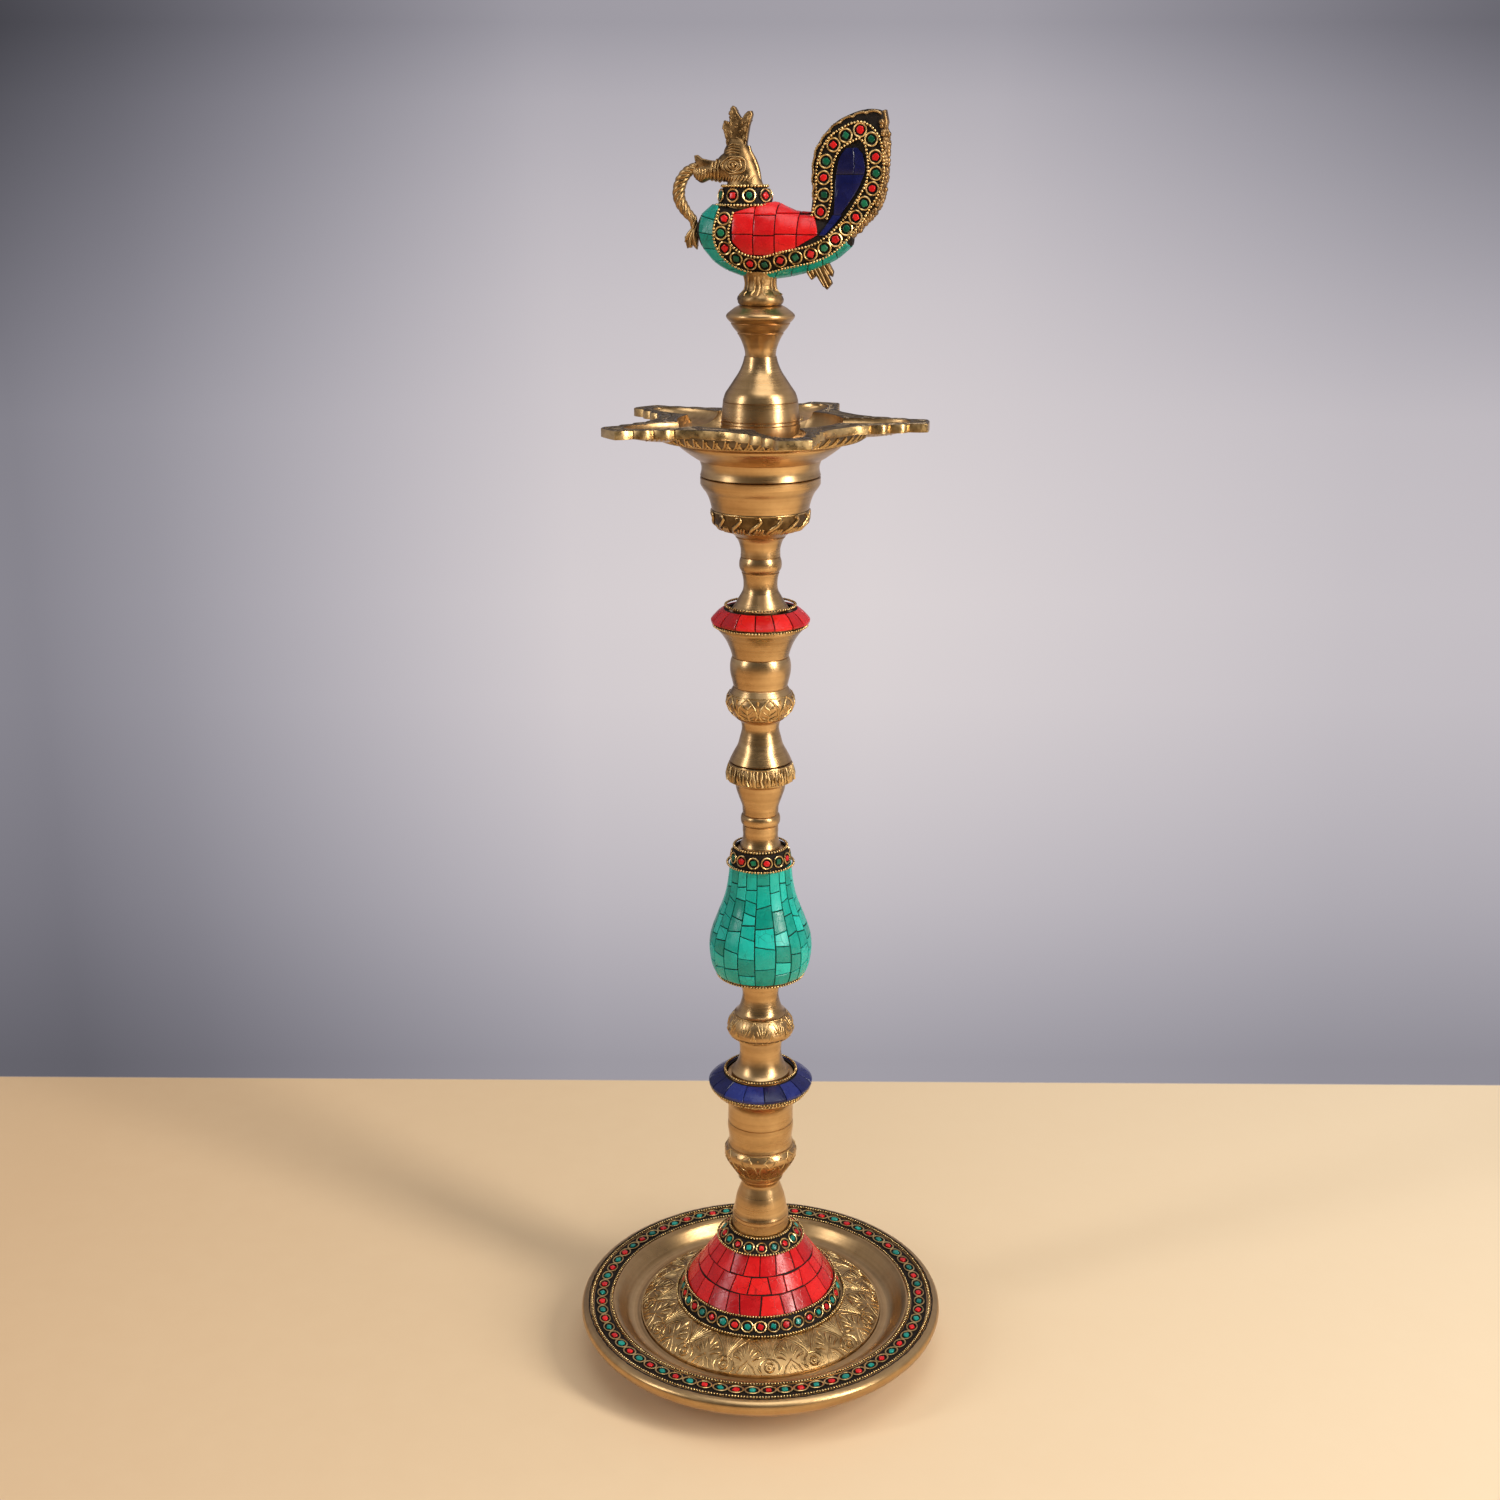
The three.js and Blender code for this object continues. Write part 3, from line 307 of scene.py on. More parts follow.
def even_steps(path, count, closed=False):
    """Points evenly spaced along a path, each with the way it runs there."""
    path = [Vector(point) for point in path]
    if closed:
        path.append(path[0])
    gone = [0]
    for a, b in zip(path, path[1:]):
        gone.append(gone[-1] + (b - a).length)
    found = []
    leg = 0
    for i in range(count):
        wanted = gone[-1] * (i / count if closed else i / (count - 1))
        while leg < len(path) - 2 and gone[leg + 1] < wanted:
            leg += 1
        share = (wanted - gone[leg]) / max(gone[leg + 1] - gone[leg], 1e-9)
        found.append((path[leg].lerp(path[leg + 1], share), (path[leg + 1] - path[leg]).normalized()))
    return found


def round_axis(radius, angle, height):
    """A place round the lamp's axis, given in millimetres."""
    return Vector((radius * cos(angle), radius * sin(angle), height)) * MM


def turn(bm, outline, sides=96):
    """Spins an outline about the lamp's axis. One that starts and ends on the axis is left open there."""
    corners = [bm.verts.new((radius * MM, 0, height * MM)) for radius, height in outline]
    edges = [bm.edges.new(pair) for pair in zip(corners, corners[1:])]
    if outline[0][0] > 1e-6 or outline[-1][0] > 1e-6:
        edges.append(bm.edges.new((corners[-1], corners[0])))
    bmesh.ops.spin(bm, geom=corners + edges, cent=(0, 0, 0), axis=(0, 0, 1), angle=TURN, steps=sides,
                   use_merge=True)
    bmesh.ops.remove_doubles(bm, verts=bm.verts, dist=1e-6)
    bmesh.ops.recalc_face_normals(bm, faces=bm.faces)


def loft(bm, rings):
    """Skins a row of rings that have the same number of points, and closes both ends."""
    row = [bm.verts.new(point) for point in rings[0]]
    edges = [bm.edges.new(pair) for pair in zip(row, row[1:] + row[:1])]
    faces = [bm.faces.new(row)]
    for ring in rings[1:]:
        grown = bmesh.ops.extrude_edge_only(bm, edges=edges)["geom"]
        fresh = {v for v in grown if isinstance(v, bmesh.types.BMVert)}
        row = [next(e.other_vert(v) for e in v.link_edges if e.other_vert(v) in fresh) for v in row]
        for v, point in zip(row, ring):
            v.co = point
        edges = [e for e in grown if isinstance(e, bmesh.types.BMEdge) and all(v in fresh for v in e.verts)]
        faces += [f for f in grown if isinstance(f, bmesh.types.BMFace)]
    faces.append(bm.faces.new(row))
    bmesh.ops.recalc_face_normals(bm, faces=faces)


def extruded(bm, faces, way):
    """Draws faces out by a vector, and gives back what grew."""
    grown = bmesh.ops.extrude_face_region(bm, geom=faces)["geom"]
    bmesh.ops.translate(bm, vec=way, verts=[v for v in grown if isinstance(v, bmesh.types.BMVert)])
    return grown


def softened(bm, edges, radius, segments=2):
    """Rounds edges over by a radius in millimetres."""
    bmesh.ops.bevel(bm, geom=edges, offset=radius * MM, offset_type="OFFSET", affect="EDGES",
                    segments=segments, profile=0.5, material=-1)


def as_mesh(bm, name):
    """The bmesh as a mesh. The bmesh is freed."""
    mesh = bpy.data.meshes.new(name)
    bm.to_mesh(mesh)
    bm.free()
    return mesh


def joined(bm, other):
    """Adds a second bmesh to the first, which keeps its own points."""
    mesh = as_mesh(other, "part")
    bm.from_mesh(mesh)
    bpy.data.meshes.remove(mesh)


def finished(bm, name, materials, crease=35):
    """The bmesh as an object, smooth but for edges sharper than crease."""
    bmesh.ops.recalc_face_normals(bm, faces=bm.faces)
    mesh = as_mesh(bm, name)
    for material in materials:
        mesh.materials.append(material)
    mesh.shade_smooth()
    mesh.set_sharp_from_angle(angle=radians(crease))
    piece = bpy.data.objects.new(name, mesh)
    bpy.context.scene.collection.objects.link(piece)
    return piece


def fitted(piece, body, slot, *nodes):
    """Fixes a piece to the body that it moves with, in place of the plain solids that it stands for."""
    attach(piece, body)
    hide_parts(*nodes)


def pattern(build):
    """A small shape that is stamped many times, kept as a mesh."""
    bm = bmesh.new()
    bm.verts.layers.float.new("tint")
    build(bm)
    return as_mesh(bm, "stamp")


def stamp(bm, shape, place, material=0, tint=0.5):
    """Copies a small shape to a place: a matrix, or a rule that moves each of its points."""
    copy = shape.copy()
    if isinstance(place, Matrix):
        copy.transform(place)
    else:
        for v in copy.vertices:
            v.co = place(v.co)
    copy.attributes["tint"].data.foreach_set("value", [tint] * len(copy.vertices))
    copy.polygons.foreach_set("material_index", [material] * len(copy.polygons))
    bm.from_mesh(copy)
    bpy.data.meshes.remove(copy)


def upright(point, normal, along):
    """A matrix that sets a shape at a point with its Z along the normal and its X along a line."""
    z = normal.normalized()
    y = z.cross(along).normalized()
    x = y.cross(z)
    return Matrix.Translation(point) @ Matrix((x, y, z)).transposed().to_4x4()


class Skin:
    """A stretch of a turned piece's outside. A place on it is a turn and a share of the way up."""

    def __init__(self, points):
        self.points = [Vector(point) for point in points]
        self.gone = [0]
        for a, b in zip(self.points, self.points[1:]):
            self.gone.append(self.gone[-1] + (b - a).length)

    def cut(self, share):
        """The outline's point at a share of the way up, and the way out from it."""
        wanted = min(max(share, 0), 1) * self.rise
        leg = 0
        while leg < len(self.points) - 2 and self.gone[leg + 1] < wanted:
            leg += 1
        a, b = self.points[leg], self.points[leg + 1]
        part = (wanted - self.gone[leg]) / max(self.gone[leg + 1] - self.gone[leg], 1e-9)
        way = (b - a).normalized()
        return a.lerp(b, part), Vector((way.y, -way.x))

    def at(self, turned, share, lift=0):
        place, out = self.cut(share)
        return round_axis(place.x + out.x * lift, turned, place.y + out.y * lift)

    def frame(self, turned, share, lift=0):
        """A matrix that stands a small shape on the skin."""
        out = self.cut(share)[1]
        normal = Vector((out.x * cos(turned), out.x * sin(turned), out.y))
        return upright(self.at(turned, share, lift), normal, Vector((-sin(turned), cos(turned), 0)))

    @property
    def rise(self):
        """The length of the outline."""
        return self.gone[-1]


def between(points, low, high):
    """The part of an outline between two heights."""
    return [point for point in points if low - 1e-6 <= point[1] <= high + 1e-6]


# -------------------- small shapes that repeat

def round_bead(bm):
    bmesh.ops.create_uvsphere(bm, u_segments=8, v_segments=5, radius=MM)


def wire_hoop(bm):
    """A hoop of round wire, one millimetre in radius."""
    upended = Matrix.Translation((MM, 0, 0)) @ Matrix.Rotation(pi / 2, 4, "X")
    ring = bmesh.ops.create_circle(bm, segments=6, radius=0.135 * MM, matrix=upended)
    edges = list({e for v in ring["verts"] for e in v.link_edges})
    bmesh.ops.spin(bm, geom=ring["verts"] + edges, cent=(0, 0, 0), axis=(0, 0, 1), angle=TURN, steps=18,
                   use_merge=True)
    bmesh.ops.recalc_face_normals(bm, faces=bm.faces)


def cut_stone(sides):
    """A cut stone with a flat table and uneven corners, about one millimetre in half width."""
    def build(bm):
        bmesh.ops.create_circle(bm, cap_ends=True, segments=sides, radius=1.14 * MM)
        for v in bm.verts:
            v.co *= chance.uniform(0.84, 1.1)
        extruded(bm, bm.faces[:], (0, 0, MM))
        bmesh.ops.recalc_face_normals(bm, faces=bm.faces)
        softened(bm, [e for e in bm.edges if max(v.co.z for v in e.verts) > 0.5 * MM], 0.26)
    return build


def tile_blank(columns, rows):
    """A tile in a unit square: a foot, a shoulder and a top, one above the other."""
    def build(bm):
        bmesh.ops.create_grid(bm, x_segments=columns, y_segments=rows, size=0.5)
        faces = bm.faces[:]
        for _ in range(2):
            faces = [f for f in extruded(bm, faces, (0, 0, 1)) if isinstance(f, bmesh.types.BMFace)]
        bmesh.ops.recalc_face_normals(bm, faces=bm.faces)
    return pattern(build)


bead_shape = pattern(round_bead)
hoop_shape = pattern(wire_hoop)
stone_shapes = [pattern(cut_stone(sides)) for sides in (4, 4, 5, 5, 6)]
wide_tile = tile_blank(4, 2)
tall_tile = tile_blank(5, 7)
square_tile = tile_blank(4, 4)
flat_tile = tile_blank(1, 4)
facet_tile = tile_blank(2, 5)


def strokes_to_mesh(name, strokes, resolution=1):
    """Raised lines with round backs. A stroke is a row of points, each with its half width in millimetres."""
    curve = bpy.data.curves.new(name, "CURVE")
    curve.dimensions = "3D"
    curve.bevel_depth = MM
    curve.bevel_resolution = resolution
    curve.use_fill_caps = True
    for stroke in strokes:
        spline = curve.splines.new("POLY")
        spline.points.add(len(stroke) - 1)
        for knot, (place, half) in zip(spline.points, stroke):
            knot.co = (*place, 1)
            knot.radius = half
    line = bpy.data.objects.new(name, curve)
    bpy.context.scene.collection.objects.link(line)
    bpy.context.view_layer.update()
    mesh = bpy.data.meshes.new_from_object(line.evaluated_get(bpy.context.evaluated_depsgraph_get()))
    bpy.data.objects.remove(line)
    bpy.data.curves.remove(curve)
    return mesh


def raised(name, strokes, materials, resolution=1, cuts=()):
    """Raised lines, and under them wider dark lines as cuts along both sides: partly patina, partly painted
    shade.
    """
    bm = bmesh.new()
    for number, lines in enumerate((strokes, cuts)):
        if not lines:
            continue
        mesh = strokes_to_mesh(name, lines, resolution)
        mesh.polygons.foreach_set("material_index", [number] * len(mesh.polygons))
        bm.from_mesh(mesh)
        bpy.data.meshes.remove(mesh)
    bmesh.ops.remove_doubles(bm, verts=bm.verts, dist=1e-7)
    bmesh.ops.recalc_face_normals(bm, faces=bm.faces)
    return finished(bm, name, materials, 60)


# -------------------- pieces that several parts share

BORE = 4.3  # the radius of the hole that a stud screws into
GRIP = 8.3  # the depth of that hole
ROD = 3.45  # the radius of a stud at the foot of its thread
PITCH = 2
BEAD_STEP = 1.34  # from one bead of a wire to the next
CHIP = 0.9  # the thickness of a stone chip


def turned_section(node, body, outline, foot_grip=GRIP, dark=()):
    """A turned section with a tapped hole at its foot and head, where the plain solid of its name sits."""
    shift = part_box(node)[0].z / MM - outline[0][1]
    side = [(radius, height + shift) for radius, height in outline]
    low, high = side[0][1], side[-1][1]
    path = [(0, low + foot_grip), (BORE, low + foot_grip), (BORE, low + 0.4), (BORE + 0.4, low), *side,
            (BORE + 0.4, high), (BORE, high - 0.4), (BORE, high - GRIP), (0, high - GRIP)]
    bm = bmesh.new()
    turn(bm, path, 112)
    # Faces in the dark stretches take the brown brass: partly patina, partly painted shade on the ground
    # between chased leaves.
    for face in bm.faces:
        middle = face.calc_center_median()
        height = middle.z / MM
        if any(a <= height - shift <= b for a, b in dark) and middle.xy.length > 6 * MM:
            face.material_index = 1
    fitted(finished(bm, node + "_turned", [satin, umber]), body, "satin_brass", node)


def thread_of(low, high):
    """A stroke that winds up a rod as its thread does, and runs out at both ends."""
    turns = (high - low - 1.2) / PITCH
    steps = int(turns * 18)
    stroke = []
    for i in range(steps + 1):
        wound = turns * i / steps
        half = 0.5 * min(1, 0.2 + i / 6, 0.2 + (steps - i) / 6)
        stroke.append((round_axis(ROD, TURN * wound, low + 0.6 + PITCH * wound), half))
    return stroke


def threaded_stud(node, body):
    low, high = (corner.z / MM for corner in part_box(node))
    bm = bmesh.new()
    turn(bm, [(0, low), (2.9, low), (ROD, low + 0.6), (ROD, high - 0.6), (2.9, high), (0, high)], 32)
    bm.from_mesh(strokes_to_mesh("thread", [thread_of(low, high)]))
    fitted(finished(bm, node + "_threaded", [chased]), body, "satin_brass", node)


def bead_wire(node, body, size=0.57):
    """A wire rolled into beads and bent into a ring, on a rod of dark lac that shows between the beads."""
    low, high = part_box(node)
    radius = high.x / MM - 0.53
    height = (low.z + high.z) / 2 / MM
    bm = bmesh.new()
    rod = [(radius + 0.36 * cos(i * TURN / 6), height + 0.36 * sin(i * TURN / 6)) for i in range(6)]
    turn(bm, rod, 72)
    count = round(TURN * radius / BEAD_STEP)
    for i in range(count):
        angle = TURN * i / count
        grown = size * chance.uniform(0.93, 1.07)
        place = Matrix.Translation(round_axis(radius, angle, height)) @ Matrix.Rotation(angle, 4, "Z")
        stamp(bm, bead_shape, place @ Matrix.Scale(grown, 4), 1)
    fitted(finished(bm, node + "_beaded", [lac, bright], 60), body, "beaded_wire", node)


def set_cell(bm, place, hoop, stone, long=1):
    """One wire cell with its stone: materials 1 to 3 are the wire, the red and the green stone."""
    bent = Matrix.Rotation(chance.uniform(-0.1, 0.1), 4, "Z")
    stamp(bm, hoop_shape, place @ bent @ Matrix.Diagonal((hoop * long, hoop, hoop, 1)), 1)
    turned = Matrix.Rotation(chance.uniform(0, TURN), 4, "Z")
    half = hoop * chance.uniform(0.54, 0.62)
    size = Matrix.Diagonal((half * (0.5 + 0.5 * long), half, 0.72, 1))
    sunk = place @ Matrix.Translation((0, 0, -0.3 * MM))
    stamp(bm, chance.choice(stone_shapes), sunk @ size @ turned, stone, chance.uniform(0.2, 0.8))


def cell_band(node, body, skin, count, hoop, bed, phase, greens=teal_stone, long=1):
    """A ring of wire cells in dark lac, red and green by turns."""
    bm = bmesh.new()
    turn(bm, bed, 96)
    for i in range(count):
        place = skin.frame(phase + TURN * i / count, 0.5 + chance.uniform(-0.015, 0.015))
        set_cell(bm, place, hoop, 2 + i % 2, long)
    fitted(finished(bm, node + "_set", [lac, bright, red_stone, greens], 50), body, "cell_band", node)


def laid(skin, corners, edge=0.16):
    """The rule that lays a unit tile on a skin between four corners, each a turn and a share."""
    a, b, c, d = (Vector(corner) for corner in corners)
    wide = (b - a).x * skin.cut((a.y + d.y) / 2)[0].x
    tall = max((d - a).y * skin.rise, 0.1)

    def place(point):
        level = round(point.z)
        x, y = point.x * 2, point.y * 2
        if level == 2:
            x *= max(1 - 2 * edge / max(wide, 0.1), 0.4)
            y *= max(1 - 2 * edge / tall, 0.4)
        u, v = (x + 1) / 2, (y + 1) / 2
        spot = a.lerp(b, u).lerp(d.lerp(c, u), v)
        return skin.at(spot.x, spot.y, (-CHIP, -edge, 0)[level])
    return place


def brickwork(bm, skin, widths, gap, ragged):
    """A row of chips round a skin for each width. A row starts where it likes, and its joints are ragged."""
    rows = len(widths)
    uneven = [0, *(0.2 * chance.uniform(-ragged, ragged) for _ in widths[1:]), 0]
    shares = [(row + off) / rows for row, off in enumerate(uneven)]
    for low, high, width in zip(shares, shares[1:], widths):
        radius = skin.cut((low + high) / 2)[0].x
        count = round(TURN * radius / width)
        start = chance.random() * TURN
        cuts = [start + TURN * (i + chance.uniform(-ragged, ragged) * 0.6) / count for i in range(count)]
        slants = [chance.uniform(-ragged, ragged) * 0.35 * TURN / count for _ in range(count)]
        steps = [chance.uniform(-0.25, 0.25) / skin.rise for _ in range(count)]
        for values, extra in ((cuts, TURN), (slants, 0), (steps, 0)):
            values.append(values[0] + extra)
        for i in range(count):
            side = gap / 2 / radius * chance.uniform(0.4, 1.4)
            end = gap / 2 / skin.rise * chance.uniform(0.5, 1.4)
            a, b = cuts[i] + side, cuts[i + 1] - side
            corners = ((a - slants[i], low + end + steps[i]), (b - slants[i + 1], low + end + steps[i + 1]),
                       (b + slants[i + 1], high - end + steps[i + 1]), (a + slants[i], high - end + steps[i]))
            stamp(bm, wide_tile, laid(skin, corners), 1, chance.uniform(0, 1))


def columned(bm, skin, columns, tile_height, gap):
    """Columns of chips up a skin, each column cut where the maker liked, with ragged joints."""
    sides = [TURN * (i + chance.uniform(-0.2, 0.2)) / columns for i in range(columns)]
    lean = [chance.uniform(-0.25, 0.25) / columns for _ in range(columns)]
    sides.append(sides[0] + TURN)
    lean.append(lean[0])
    girth = skin.cut(0.4)[0].x
    for column in range(columns):
        a, b = sides[column], sides[column + 1]
        cuts = [0]
        while cuts[-1] < 0.96:
            cuts.append(cuts[-1] + tile_height * chance.uniform(0.7, 1.35) / skin.rise)
        cuts = [cut / cuts[-1] for cut in cuts]
        slants = [0] + [chance.uniform(-0.9, 0.9) / skin.rise for _ in cuts[2:]] + [0]
        for low, high, slant_low, slant_high in zip(cuts, cuts[1:], slants, slants[1:]):
            side = chance.uniform(0.5, 1.3) * gap / 2 / girth
            end = chance.uniform(0.4, 1.3) * gap / 2 / skin.rise

            def border(edge, share, number):
                return edge + lean[number] * sin(7 * share + 3 * number)
            corners = ((border(a, low, column) + side, low + end - slant_low),
                       (border(b, low, column + 1) - side, low + end + slant_low),
                       (border(b, high, column + 1) - side, high - end + slant_high),
                       (border(a, high, column) + side, high - end - slant_high))
            stamp(bm, square_tile, laid(skin, corners), 1, chance.uniform(0, 1))


def leaves_on(skin, count, motif, half, phase=0, lift=0.05):
    """Repeats a motif round a skin. Its strokes are in cell widths across and shares of the height up."""
    strokes = []
    for cell in range(count):
        centre = phase + TURN * cell / count
        for stroke in motif:
            strokes.append([(skin.at(centre + x * TURN / count, y, lift), half * weight)
                            for x, y, weight in stroke])
    return strokes


def ring_line(skin, share, lift, half, steps=72):
    """A stroke all the way round a skin."""
    return [(skin.at(TURN * i / steps, share, lift), half) for i in range(steps + 1)]


def tapered(points, ends=0.35):
    """A stroke's points with their weights: full in the middle, thin at the ends."""
    last = len(points) - 1
    return [(x, y, ends + (1 - ends) * sin(pi * i / last)) for i, (x, y) in enumerate(points)]


def chased_lines(skin, count, motif, half, phase, lift=0.05):
    """Raised lines round a skin, and wider, lower lines as dark cuts beside them: partly patina, partly
    painted shade.
    """
    low = leaves_on(skin, count, motif, half, phase, lift - 0.3)
    return (leaves_on(skin, count, motif, half, phase, lift),
            [[(place, width + 0.16) for place, width in line] for line in low])


def both_sides(strokes):
    """Strokes drawn on the left of a cell, and the same on its right."""
    return strokes + [[(-x, y, weight) for x, y, weight in stroke] for stroke in strokes]


# -------------------- base: foot, dish, dome and inlaid cone

def make_foot():
    outline = Outline(55.7, 0).line(58.7).line(59.2, 0.5).line(59.2, 5.7)
    outline.through([(59.5, 7.4), (60.6, 8.4), (62.2, 8.7)]).line(55.7)
    bm = bmesh.new()
    turn(bm, outline.points, 128)
    fitted(finished(bm, "base_foot_turned", [dish_satin]), "base", "satin_brass", "base_foot")


def make_dish():
    outline = Outline(55.7, 9).line(62.2)
    outline.through([(72, 11), (79, 14.6), (83.4, 18.4), (84.6, 20.6), (84.8, 21.8), (84.4, 23.4),
                     (83.2, 24.5), (81.9, 24.95)])
    outline.line(81.1, 0.05).line(81, -0.95).line(69.6).line(69.6, 0.95).line(69.2, 0.05)
    outline.through([(67.4, 24.1), (65, 21.2), (62.8, 18.9), (60.6, 18.05), (59.6, 18)])
    outline.line(58.9, -0.15).line(58.4, 0.15).line(57.1, 0.1).line(57.1, -1.2).line(52.8).line(52.8, -1.7)
    outline.line(54.7)
    bm = bmesh.new()
    turn(bm, outline.points, 144)
    for face in bm.faces:
        middle = face.calc_center_median()
        if middle.z < 17.9 * MM and middle.xy.length < 62 * MM:
            face.material_index = 1
    fitted(finished(bm, "base_dish_turned", [dish_satin, chased]), "base", "satin_brass", "base_dish")
    smear = [(round_axis(81.35 + chance.uniform(-0.15, 0.15), TURN * i / 360, 24.75),
              chance.uniform(0.34, 0.5))
             for i in range(361)]
    fitted(raised("rim_lac_edge", [smear], [lac]), "base", "cell_band", "base_dish")
    band = Skin([(78.9, 25.2), (71.7, 25.2)])
    bed = [(71.7, 24.3), (78.9, 24.3), (78.9, 24.75), (71.7, 24.75)]
    cell_band("rim_stone_band", "base", band, 66, 2.3, bed, FRONT + TURN / 132, long=1.42)
    bead_wire("rim_outer_bead_wire", "base")
    bead_wire("rim_inner_bead_wire", "base")


PETALS = 16
EYE = FRONT + radians(4.3)  # the first eye, a little to the right of the front


def dome_petal():
    """One lancet petal from edge to apex: two outlines, thick feather strokes and a tent at its foot."""
    side = tapered([(-0.4, 0.24), (-0.46, 0.42), (-0.4, 0.58), (-0.29, 0.74), (-0.14, 0.87), (0, 0.97)], 0.9)
    inner = tapered([(-0.34, 0.36), (-0.37, 0.5), (-0.3, 0.63), (-0.19, 0.77), (-0.09, 0.86)], 0.5)
    feathers = []
    for foot, head, near, far, weight in ((0.5, 0.74, 0.05, 0.15, 1.5), (0.42, 0.62, 0.08, 0.25, 1.6),
                                          (0.34, 0.48, 0.12, 0.33, 1.4)):
        feathers.append([(-near, foot, 0.5), (-(near * 0.6 + far * 0.4), (foot + head) / 2, weight * 0.8),
                         (-(near * 0.15 + far * 0.85), head - 0.04, weight), (-far, head, 0.6)])
    tent = [[(-0.2, 0.02, 0.8), (-0.14, 0.18, 0.9), (0.02, 0.36, 0.6)]]
    foot = [[(-0.34, 0.02, 0.5), (-0.27, 0.12, 0.8), (-0.2, 0.24, 0.5)],
            [(-0.08, 0.03, 0.5), (-0.04, 0.14, 0.9), (0, 0.24, 0.5)]]
    bud = [[(0, 0.6, 0.5), (0, 0.72, 1.3), (0, 0.82, 1.7), (0, 0.88, 0.8)]]
    return both_sides([side, inner, *feathers, *tent, *foot]) + bud


def dome_eye():
    """The field between two petals: an eye at the edge, half a ring over it and a fan of straight lines."""
    strokes = []
    ring = [(0.1 * sin(TURN * i / 16), 0.19 + 0.11 * cos(TURN * i / 16), 1) for i in range(17)]
    strokes.append(ring)
    arc = [(0.215 * sin(radians(a)), 0.19 + 0.215 * cos(radians(a)), 1.1)
           for a in range(-125, 126, 18)]
    strokes.append(arc)
    for i in range(6):
        lean = (i - 2.5) / 2.5
        strokes.append([(0.03 * lean, 0.52 - 0.08 * (1 - abs(lean)), 0.5), (0.13 * lean, 0.74, 0.85),
                        (0.27 * lean, 0.97, 0.7)])
    return strokes


def make_dome():
    edge = Outline(53.8, 17.2).line(56.6).line(56.8, 0.2).line(56.8, 1).line(56.5, 0.5)
    start = len(edge.points) - 1
    edge.through([(55, 20.2), (52.2, 22.2), (48.6, 24.1), (44.8, 25.6), (41.8, 26.5), (39.6, 26.8)])
    skin = Skin(edge.points[start:])
    edge.line(BORE).line(BORE, -3).line(38)
    edge.through([(43, 22.9), (48, 20.9), (51.6, 18.8)])
    bm = bmesh.new()
    turn(bm, edge.points, 128)
    fitted(finished(bm, "base_dome_raised", [chased]), "base", "chased_brass", "base_dome")
    # The wider, lower lines beside petals and eyes are dark: partly patina, partly painted shade in the
    # grooves.
    petals, petal_shade_lines = chased_lines(skin, PETALS, dome_petal(), 0.42, EYE + pi / PETALS, 0)
    eyes, eye_shade_lines = chased_lines(skin, PETALS, dome_eye(), 0.4, EYE, 0)
    lines = [*petals, *eyes, ring_line(skin, 0, 0, 0.4, 120)]
    chasing = raised("base_dome_petals", lines, [rubbed, patina_and_painted_shade], cuts=petal_shade_lines + eye_shade_lines)
    fitted(chasing, "base", "chased_brass", "base_dome")
    bm = bmesh.new()
    for i in range(PETALS):
        stamp(bm, bead_shape, skin.frame(EYE + TURN * i / PETALS, 0.19) @ Matrix.Scale(0.9, 4))
    fitted(finished(bm, "base_dome_eye_bosses", [rubbed]), "base", "chased_brass", "base_dome")


def make_cone():
    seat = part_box("cone_core")[0].z / MM
    core = Outline(36.8, seat).line(36.8, 0.3).line(32.8, 7.3).line(17.4, 22.4).line(13.1, 4.7)
    turned_section("cone_core", "base", core.points, 11.3)
    skirt = Skin([(38.6, 27.4), (34.6, 34.4)])
    bed = [(37.1, 27.4), (38.2, 27.4), (34.2, 34.4), (33.1, 34.4)]
    cell_band("cone_skirt_stone_band", "base", skirt, 38, 2.45, bed, FRONT, long=1.08)
    crown = Skin([(19.2, 57.4), (14.9, 61.8)])
    bed = [(17.7, 57.4), (18.8, 57.4), (14.5, 61.8), (13.4, 61.8)]
    cell_band("cone_crown_stone_band", "base", crown, 18, 2.35, bed, FRONT + 0.03)
    tiles = Skin([(34.6, 34.7), (19.2, 57.1)])
    bm = bmesh.new()
    turn(bm, [(33.1, 34.7), (34.15, 34.7), (18.75, 57.1), (17.7, 57.1)], 96)
    brickwork(bm, tiles, (8.6, 8.6, 7.2), 0.6, 0.3)
    piece = finished(bm, "cone_red_tiles", [lac, red_stone], 30)
    fitted(piece, "base", "red_stone", "cone_coral_mosaic")
    bead_wire("cone_foot_bead_wire", "base", 0.6)
    bead_wire("cone_skirt_bead_wire", "base", 0.58)
    bead_wire("cone_crown_bead_wire", "base")
    bead_wire("cone_top_bead_wire", "base")


def make_bolt():
    low, high = (corner.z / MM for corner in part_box("base_bolt"))
    bm = bmesh.new()
    place = Matrix.Translation((0, 0, low * MM)) @ Matrix.Rotation(pi / 6, 4, "Z")
    bmesh.ops.create_circle(bm, cap_ends=True, segments=6, radius=8 * MM, matrix=place)
    extruded(bm, bm.faces[:], (0, 0, 5.5 * MM))
    softened(bm, bm.edges[:], 0.4)
    shank = bmesh.new()
    turn(shank, [(0, low + 5), (ROD, low + 5), (ROD, high - 0.6), (2.9, high), (0, high)], 32)
    shank.from_mesh(strokes_to_mesh("thread", [thread_of(low + 8, high)]))
    joined(bm, shank)
    fitted(finished(bm, "base_bolt_threaded", [steel]), "base", "plated_steel", "base_bolt")
    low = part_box("base_washer")[0].z / MM
    bm = bmesh.new()
    high = low + 1.6
    turn(bm, [(BORE, low), (10.7, low), (11, low + 0.3), (11, high - 0.3), (10.7, high), (BORE, high)], 48)
    fitted(finished(bm, "base_washer_pressed", [steel]), "base", "plated_steel", "base_washer")


# -------------------- stem: turned sections, stone rings, pear

